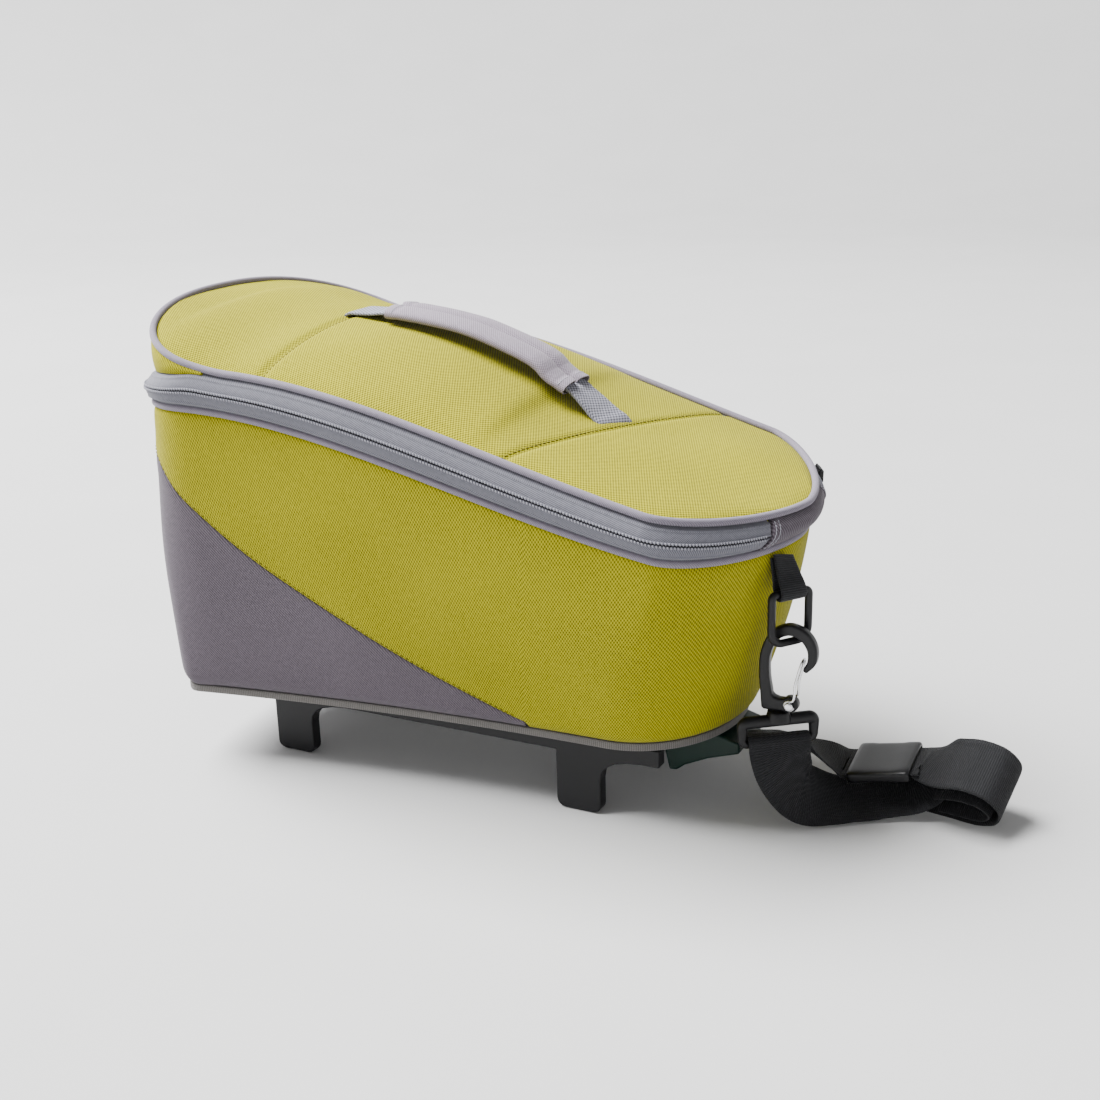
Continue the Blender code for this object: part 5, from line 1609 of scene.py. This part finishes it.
    def hook_outline(self) -> np.ndarray:
        """Hook body square on: the tapered line's two sides, a foot and a lug round the rivet."""
        rows = np.array(self.HOOK_LINE) * (self.hook_width, self.hook_height, self.hook_thickness / 2)
        line = smooth(rows, 9)
        along = unit(np.gradient(line[:, :2], axis=0))
        side = np.stack([along[:, 1], -along[:, 0]], 1) * line[:, 2:]
        inner, outer = line[:, :2] + side, line[:, :2] - side
        turn = np.linspace(0, np.pi, 9)[1:-1, None]
        tip = line[-1, :2] + side[-1] * np.cos(turn) + along[-1] * line[-1, 2] * np.sin(turn)
        right = self.rivet_across + self.lug * 0.5
        left = right - self.foot_width
        ease = self.foot_height * 0.15
        foot = [(left, ease), (left + ease, 0), (right - ease, 0)]
        angle = np.radians(np.linspace(-50, 140, 22))
        lug = np.stack([np.cos(angle), np.sin(angle)], 1) * self.lug + (self.rivet_across, self.rivet_rise)
        floor = [(inner[0][0] + self.foot_width * 0.22, self.foot_height * 0.88),
                 (inner[0][0] + self.foot_width * 0.07, self.foot_height * 0.98)]
        return np.concatenate([foot, lug, floor, inner, tip, outer[::-1]])

    def hook(self) -> None:
        """Hook body with rounded edges, and the domed rivet through it."""
        foot = self.foot()
        across, out = self.facing(self.hook_yaw)
        outline = self.hook_outline()
        count = len(outline)
        half = self.hook_thickness / 2
        flat = foot + across * outline[:, :1] + UP * outline[:, 1:]
        points = np.concatenate([flat - out * half, flat + out * half])
        k = np.arange(count)
        faces = np.stack([k, (k + 1) % count, (k + 1) % count + count, k + count], 1).tolist()
        faces += [k[::-1].tolist(), (k + count).tolist()]
        mesh = bpy.data.meshes.new("clip_hook")
        mesh.from_pydata(points.tolist(), [], faces)
        mesh.shade_smooth()
        piece = add_piece("clip_hook", mesh)
        bevel(piece, self.hook_edge, 5, 60)
        place(piece, FINISH.black, ["snap_hook"])

        pivot = foot + across * self.rivet_across + UP * self.rivet_rise
        reach = half + 2 * self.gate_wire + 3 * GAP
        head = [(reach + past * MM, swell) for past, swell in self.RIVET_HEAD]
        profile = [(-along, swell) for along, swell in head[::-1]] + head
        circle = ring(self.rivet, 24)
        rows = [pivot + out * along + (across * circle[:, :1] + UP * circle[:, 1:]) * swell
                for along, swell in profile]
        place(mesh_of("rivet_head", np.array(rows)), FINISH.steel, ["gate_rivet"])

    def gate(self) -> None:
        """Sprung wire gate: two legs from the rivet joined by a bow under the hook's nose, ending in eyes."""
        foot = self.foot()
        across, out = self.facing(self.hook_yaw)
        pivot = foot + across * self.rivet_across + UP * self.rivet_rise
        nose_across, nose_rise, _ = self.HOOK_LINE[-2]
        nose = foot + across * nose_across * self.hook_width + UP * nose_rise * self.hook_height
        tip = pivot + unit(nose - across * self.hook_thickness * 0.75 - pivot) * self.gate_length
        lean = unit(tip - pivot)
        side = self.hook_thickness / 2 + self.gate_wire + GAP
        eye = self.rivet + GAP + self.gate_wire
        turn = np.linspace(-np.pi * 1.5, 0, 14)[:, None]
        curl = pivot + (lean * np.cos(turn) + np.cross(lean, out) * np.sin(turn)) * eye
        middle = (pivot + tip) / 2
        bow = np.linspace(0, np.pi, 9)[:, None]
        arc = tip - lean * side * 0.3 + out * side * 0.9 * np.cos(bow) + lean * side * 0.42 * np.sin(bow)
        path = np.vstack([curl + out * side, middle + out * side, arc, middle - out * side,
                          (curl - out * side)[::-1]])
        fine, = even(smooth(path, 6), 260)
        bow_wire = mesh_of("gate_bow", self.parallel_tube(fine, self.gate_wire))
        place(bow_wire, FINISH.steel, ["hook_gate"], Body.GATE)

    @staticmethod
    def parallel_tube(path: np.ndarray, radius: float, count: int = 12) -> np.ndarray:
        """Tube whose first direction is carried along the path without twist.

        Args:
            path: Points of the path.
            radius: Radius of the tube.
            count: Points round it.

        Returns:
            The grid of points.
        """
        along = unit(np.gradient(path, axis=0))
        first = np.empty_like(along)
        seed = np.array([0.3, 0.5, 0.8])
        for k, direction in enumerate(along):
            seed = seed - direction * seed.dot(direction)
            seed = seed / np.linalg.norm(seed)
            first[k] = seed
        return sweep(path, first, ring(radius, count))

    def frame(self) -> None:
        """Frame under the hook, thicker along its top, with the round swivel neck."""
        centre = self.frame_centre()
        w, h = self.frame_size
        corner = self.frame_corner
        outline = self.rounded(w - 2 * self.frame_wire, h - 2 * self.frame_wire, corner, corner)
        top = outline[:, 1].max()
        blend = np.clip((outline[:, 1] / top - 0.2) / 0.8, 0, 1)
        radii = self.frame_wire + (self.frame_top_wire - self.frame_wire) * blend
        place(self.tube("strap_bar", centre, self.frame_yaw, outline, radii), FINISH.black,
              ["strap_frame"])
        base = centre + UP * top
        circle = ring(self.neck, 32)
        span = self.frame_top_wire + self.neck_height
        flat = np.hstack([circle, np.zeros((len(circle), 1))])
        rows = [base + UP * span * level + flat * swell for level, swell in self.NECK_LINE]
        place(mesh_of("swivel_neck", np.array(rows)), FINISH.black)


@dataclass
class ShoulderStrap:
    """One ribbed webbing from the inner turn of its roll over the frame and back, with its adjuster."""

    clip: HangingClip
    width: float = 34 * MM
    thickness: float = 1.6 * MM
    roll_corner: Tuple[float, float] = (247 * MM, 19 * MM)
    roll_yaw: float = -10.0
    roll_rise: float = 31.0
    roll_length: float = 50 * MM
    roll_height: float = 30 * MM
    adjuster: Tuple[float, float, float] = (34 * MM, 41 * MM, 7 * MM)
    rib_pitch: float = 1.15 * MM
    rib_depth: float = 0.2
    flatness: float = 0.82

    # Place of the frame's lower bar in mm that the routes are drawn for
    BAR_DRAWN = (187.1, -30.2, 51.7)
    # Columns: X, Y and Z in mm, turn and rise of the width in degrees, share that follows the bar
    FRONT_ROUTE = ((248, 20, 12, 90, 28, 0.0), (237, 16, 8.5, 104, 20, 0.0), (225, 9, 6.5, 114, 15, 0.0),
                   (214, 1, 8.6, 116, 20, 0.2), (205, -9, 12.8, 104, 30, 0.4), (198, -20, 18.5, 80, 38, 0.6),
                   (193, -29, 31, 58, 26, 0.8), (190.5, -33, 43, 44, 12, 1.0))
    BACK_ROUTE = ((180.5, -19.5, 50, 37, 0, 1.0), (181, -10, 45.5, 8, -4, 0.9), (187, 2, 37, -24, -8, 0.6),
                  (197, 13, 27, -50, -7, 0.2))
    ADJUSTER_ENDS = ((209, 20.5, 20, -87, -2, 0.0), (251, 22.5, 28, -87, -2, 0.0))
    # Columns: along / roll_length, up / roll_height
    OUTER_TURN = ((0.38, 0.92), (0.66, 1.03), (0.88, 0.93), (1.00, 0.57), (0.93, 0.20), (0.76, 0.05),
                  (0.40, 0.035), (0.16, 0.035))
    INNER_TURN = ((0.30, 0.15), (0.60, 0.16), (0.78, 0.19), (0.88, 0.36), (0.82, 0.57), (0.64, 0.66),
                  (0.42, 0.59), (0.22, 0.40))
    # Columns: place from the adjuster's middle / its length, width and thickness in shares of the full size
    ADJUSTER_HALF = ((0.2, 0.995, 0.90), (0.3, 1.0, 1.0), (0.42, 1.0, 1.0), (0.47, 0.99, 0.97),
                     (0.492, 0.965, 0.86), (0.5, 0.93, 0.70))

    @staticmethod
    def direction(turn: float, rise: float) -> np.ndarray:
        """Unit vector from its turn in plan and its rise, in degrees."""
        t, r = math.radians(turn), math.radians(rise)
        return np.array([math.cos(t) * math.cos(r), math.sin(t) * math.cos(r), math.sin(r)])

    def turn_points(self, rows: Sequence[Tuple[float, float]]) -> Tuple[np.ndarray, np.ndarray]:
        """Points of a turn of the roll and the direction of its width."""
        along = self.direction(self.roll_yaw, 0)
        axis = self.direction(self.roll_yaw + 90, self.roll_rise)
        up = np.cross(along, axis)
        shift = np.array([self.clip.form.centre_shift, 0, 0])
        corner = np.array([*self.roll_corner, GAP]) + shift + axis * self.width / 2
        table = np.array(rows)
        return corner + along * table[:, :1] * self.roll_length + up * table[:, 1:] * self.roll_height, axis

    def route(self, rows: Sequence[Sequence[float]], bar: np.ndarray) -> Tuple[np.ndarray, np.ndarray]:
        """Points and width directions of a route, moved along with the frame's lower bar."""
        table = np.array(rows, float)
        shift = np.array([self.clip.form.centre_shift, 0, 0])
        moved = bar - shift - np.array(self.BAR_DRAWN) * MM
        points = table[:, :3] * MM + moved * table[:, 5:] + shift
        return points, np.array([self.direction(row[3], row[4]) for row in table])

    def line(self) -> Tuple[np.ndarray, np.ndarray, int]:
        """Points and widths of the whole strap, and the row where the adjuster starts."""
        clip = self.clip
        across, out = clip.facing(clip.frame_yaw)
        bar = clip.frame_centre() - UP * (clip.frame_size[1] / 2 - clip.frame_wire)
        radius = clip.frame_wire + 1.3 * GAP + self.thickness / 2
        inner, axis = self.turn_points(self.INNER_TURN)
        front, front_widths = self.route(self.FRONT_ROUTE, bar)
        angles = np.radians((-15, 20, 60, 100, 140, 175))[:, None]
        over = bar + out * radius * np.cos(angles) + UP * radius * np.sin(angles)
        back, back_widths = self.route(self.BACK_ROUTE, bar)
        held, held_widths = self.route(self.ADJUSTER_ENDS, bar)
        outer, _ = self.turn_points(self.OUTER_TURN)
        points = np.vstack([inner, front, over, back, held, outer])
        widths = np.vstack([np.tile(axis, (len(inner), 1)), front_widths, np.tile(across, (len(over), 1)),
                            back_widths, held_widths, np.tile(-axis, (len(outer), 1))])
        return points, widths, len(inner) + len(front) + len(over) + len(back)

    def build(self) -> None:
        """Make and dress the webbing and its adjuster."""
        points, widths, held = self.line()
        steps = 12
        path, sides = smooth(points, steps), smooth(widths, steps)
        ramp = np.linspace(0, 1, steps + 1)[:, None]
        path[held * steps:held * steps + steps + 1] = points[held] + (points[held + 1] - points[held]) * ramp
        sides[held * steps:held * steps + steps + 1] = widths[held]
        length = run_along(path, 0)[-1]
        LOG.info("strap length %.3f m", length)
        count = int(length / self.rib_pitch * 6)
        fine, fine_sides = even(path, count, sides)
        flat = slab(self.width, self.thickness * self.flatness, 5)
        section = ribbed(fine, flat, self.rib_pitch, self.rib_depth)
        strap = mesh_of("strap_web", sweep(fine, fine_sides, section), sharp=80)
        place(strap, FINISH.black_web, ["shoulder_strap"])
        self.slider(points[held], points[held + 1], widths[held])

    def slider(self, first: np.ndarray, second: np.ndarray, side: np.ndarray) -> None:
        """Flat box that the strap passes through: a ring of section, swollen and dished along its length.

        Args:
            first: Strap's middle where it enters.
            second: Strap's middle where it leaves.
            side: Direction of the strap's width.
        """
        length, width, thickness = self.adjuster
        along = unit(second - first)
        middle = (first + second) / 2
        half = np.array(self.ADJUSTER_HALF)
        levels = np.concatenate([half[::-1] * (-1, 1, 1), half])
        path = middle + along * levels[:, :1] * length
        shell = slab(width, thickness, 8)[None] * levels[:, None, 1:]
        hole = np.broadcast_to(slab(self.width + 5 * GAP, self.thickness + 5 * GAP, 8), shell.shape)
        sides = np.broadcast_to(side, path.shape)
        outer = sweep(path, sides, shell)
        inner = sweep(path, sides, hole)
        piece = mesh_of("strap_slider", np.concatenate([outer, inner[::-1]]), closed=True, sharp=50)
        place(piece, FINISH.black, ["strap_adjuster"])


@dataclass
class Studio:
    """Pale floor, soft lights and the camera at the photo's angle."""

    centre_shift: float
    azimuth: float = 29.45
    elevation: float = 18.48
    roll: float = -2.45
    distance: float = 0.8843
    target_height: float = 0.110
    focal_pixels: float = 1494.5
    frame_pixels: float = 1100.0
    principal: Tuple[float, float] = (493.3, 575.9)
    floor_radius: float = 3.0
    sweep_radius: float = 2.0
    wall_height: float = 3.2
    paper_tones: Tuple[float, float] = (0.40, 0.43)
    world_light: float = 0.3
    sensor: float = 36.0
    aim: Tuple[float, float, float] = (0.0, 0.0, 0.12)

    # Columns: name, place, side in metres, power in watts
    LAMPS = (("top_soft", (-2.6, -0.5, 4.4), 3.6, 1750), ("near_soft", (-2.4, -0.9, 1.2), 1.2, 8))

    def camera(self) -> None:
        """Camera matched to the photo's outline."""
        az, el, roll = (math.radians(v) for v in (self.azimuth, self.elevation, self.roll))
        right = Vector((math.cos(az), math.sin(az), 0))
        back = Vector((math.sin(az) * math.cos(el), -math.cos(az) * math.cos(el), math.sin(el)))
        up = back.cross(right)
        x_axis = right * math.cos(roll) + up * math.sin(roll)
        y_axis = up * math.cos(roll) - right * math.sin(roll)
        data = bpy.data.cameras.new("camera")
        data.sensor_width = self.sensor
        data.lens = self.focal_pixels / self.frame_pixels * self.sensor
        data.shift_x = (self.frame_pixels / 2 - self.principal[0]) / self.frame_pixels
        data.shift_y = (self.principal[1] - self.frame_pixels / 2) / self.frame_pixels
        data.clip_start = 0.01
        data.clip_end = 50
        camera = bpy.data.objects.new("camera", data)
        bpy.context.scene.collection.objects.link(camera)
        matrix = Matrix((x_axis, y_axis, back)).transposed().to_4x4()
        matrix.translation = Vector((self.centre_shift, 0, self.target_height)) + back * self.distance
        camera.matrix_world = matrix
        bpy.context.scene.camera = camera

    def light(self, name: str, place_at: Tuple[float, float, float], size: float, power: float) -> None:
        """Square area light aimed at the bag.

        Args:
            name: Name of the light.
            place_at: Its place.
            size: Its side in metres.
            power: Its power in watts.
        """
        data = bpy.data.lights.new(name, "AREA")
        data.size = size
        data.energy = power
        lamp = bpy.data.objects.new(name, data)
        bpy.context.scene.collection.objects.link(lamp)
        lamp.location = place_at
        lamp.rotation_euler = (Vector(self.aim) - Vector(place_at)).to_track_quat("-Z", "Y").to_euler()

    def build(self) -> None:
        """Set up the paper floor that sweeps up into a backdrop, the lamps, the even light and the camera."""
        turn = np.linspace(0, 2 * np.pi, 96, endpoint=False)
        bend = np.linspace(0, np.pi / 2, 12)
        flat, curve = self.floor_radius, self.sweep_radius
        edge = flat + curve
        profile = [(0.02, 0.0), (flat / 2, 0.0)]
        profile += [(flat + curve * math.sin(t), curve * (1 - math.cos(t))) for t in bend]
        profile += [(edge, self.wall_height), (edge + 0.1, self.wall_height), (edge + 0.1, -0.02),
                    (0.02, -0.02)]
        rows = [np.stack([r * np.cos(turn), r * np.sin(turn), np.full(len(turn), z - 0.4 * MM)], 1)
                for r, z in profile]
        floor = mesh_of("floor", np.array(rows))
        graph = Graph("floor_paper")
        where = graph.add("TexCoord").outputs["Object"]
        grain = graph.noise(where, 6.0)
        dark, light = ((tone,) * 3 for tone in self.paper_tones)
        graph.set(Base_Color=graph.mix(grain, dark, light), Roughness=0.9, Specular_IOR_Level=0.1)
        floor.data.materials.append(graph.material)
        for lamp in self.LAMPS:
            self.light(*lamp)
        world = bpy.data.worlds.new("studio")
        world.use_nodes = True
        background = world.node_tree.nodes["Background"]
        background.inputs["Color"].default_value = (1, 1, 1, 1)
        background.inputs["Strength"].default_value = self.world_light
        bpy.context.scene.world = world
        self.camera()


def keep(node: str, finish: Finish, frame: dict) -> None:
    """Give a CAD node that stays a better material.

    Args:
        node: Name of the node.
        finish: Its finish.
        frame: The loaded frame.
    """
    piece = frame["nodes"][node]
    material = finish.material()
    for slot in piece.material_slots:
        slot.material = material
    LOG.info("%s kept", node)


def main() -> None:
    """Build every piece in order."""
    logging.basicConfig(level=logging.INFO, format="%(message)s")
    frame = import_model()
    plate_rear = min(corner[0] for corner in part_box("adapter_plate"))
    form = BagForm(plate_rear - RackAdapter.rear)
    Studio(form.centre_shift).build()
    TubShell(form).build()
    ZipBand(form).build()
    LidShell(form).build()
    CarryHandle(form).build()
    RackAdapter(form).build()
    clip = HangingClip(form)
    clip.build()
    ShoulderStrap(clip).build()
    keep("zip_slider", FINISH.black, frame)
    keep("lever_pin", FINISH.steel, frame)


if __name__ == "__main__":
    main()
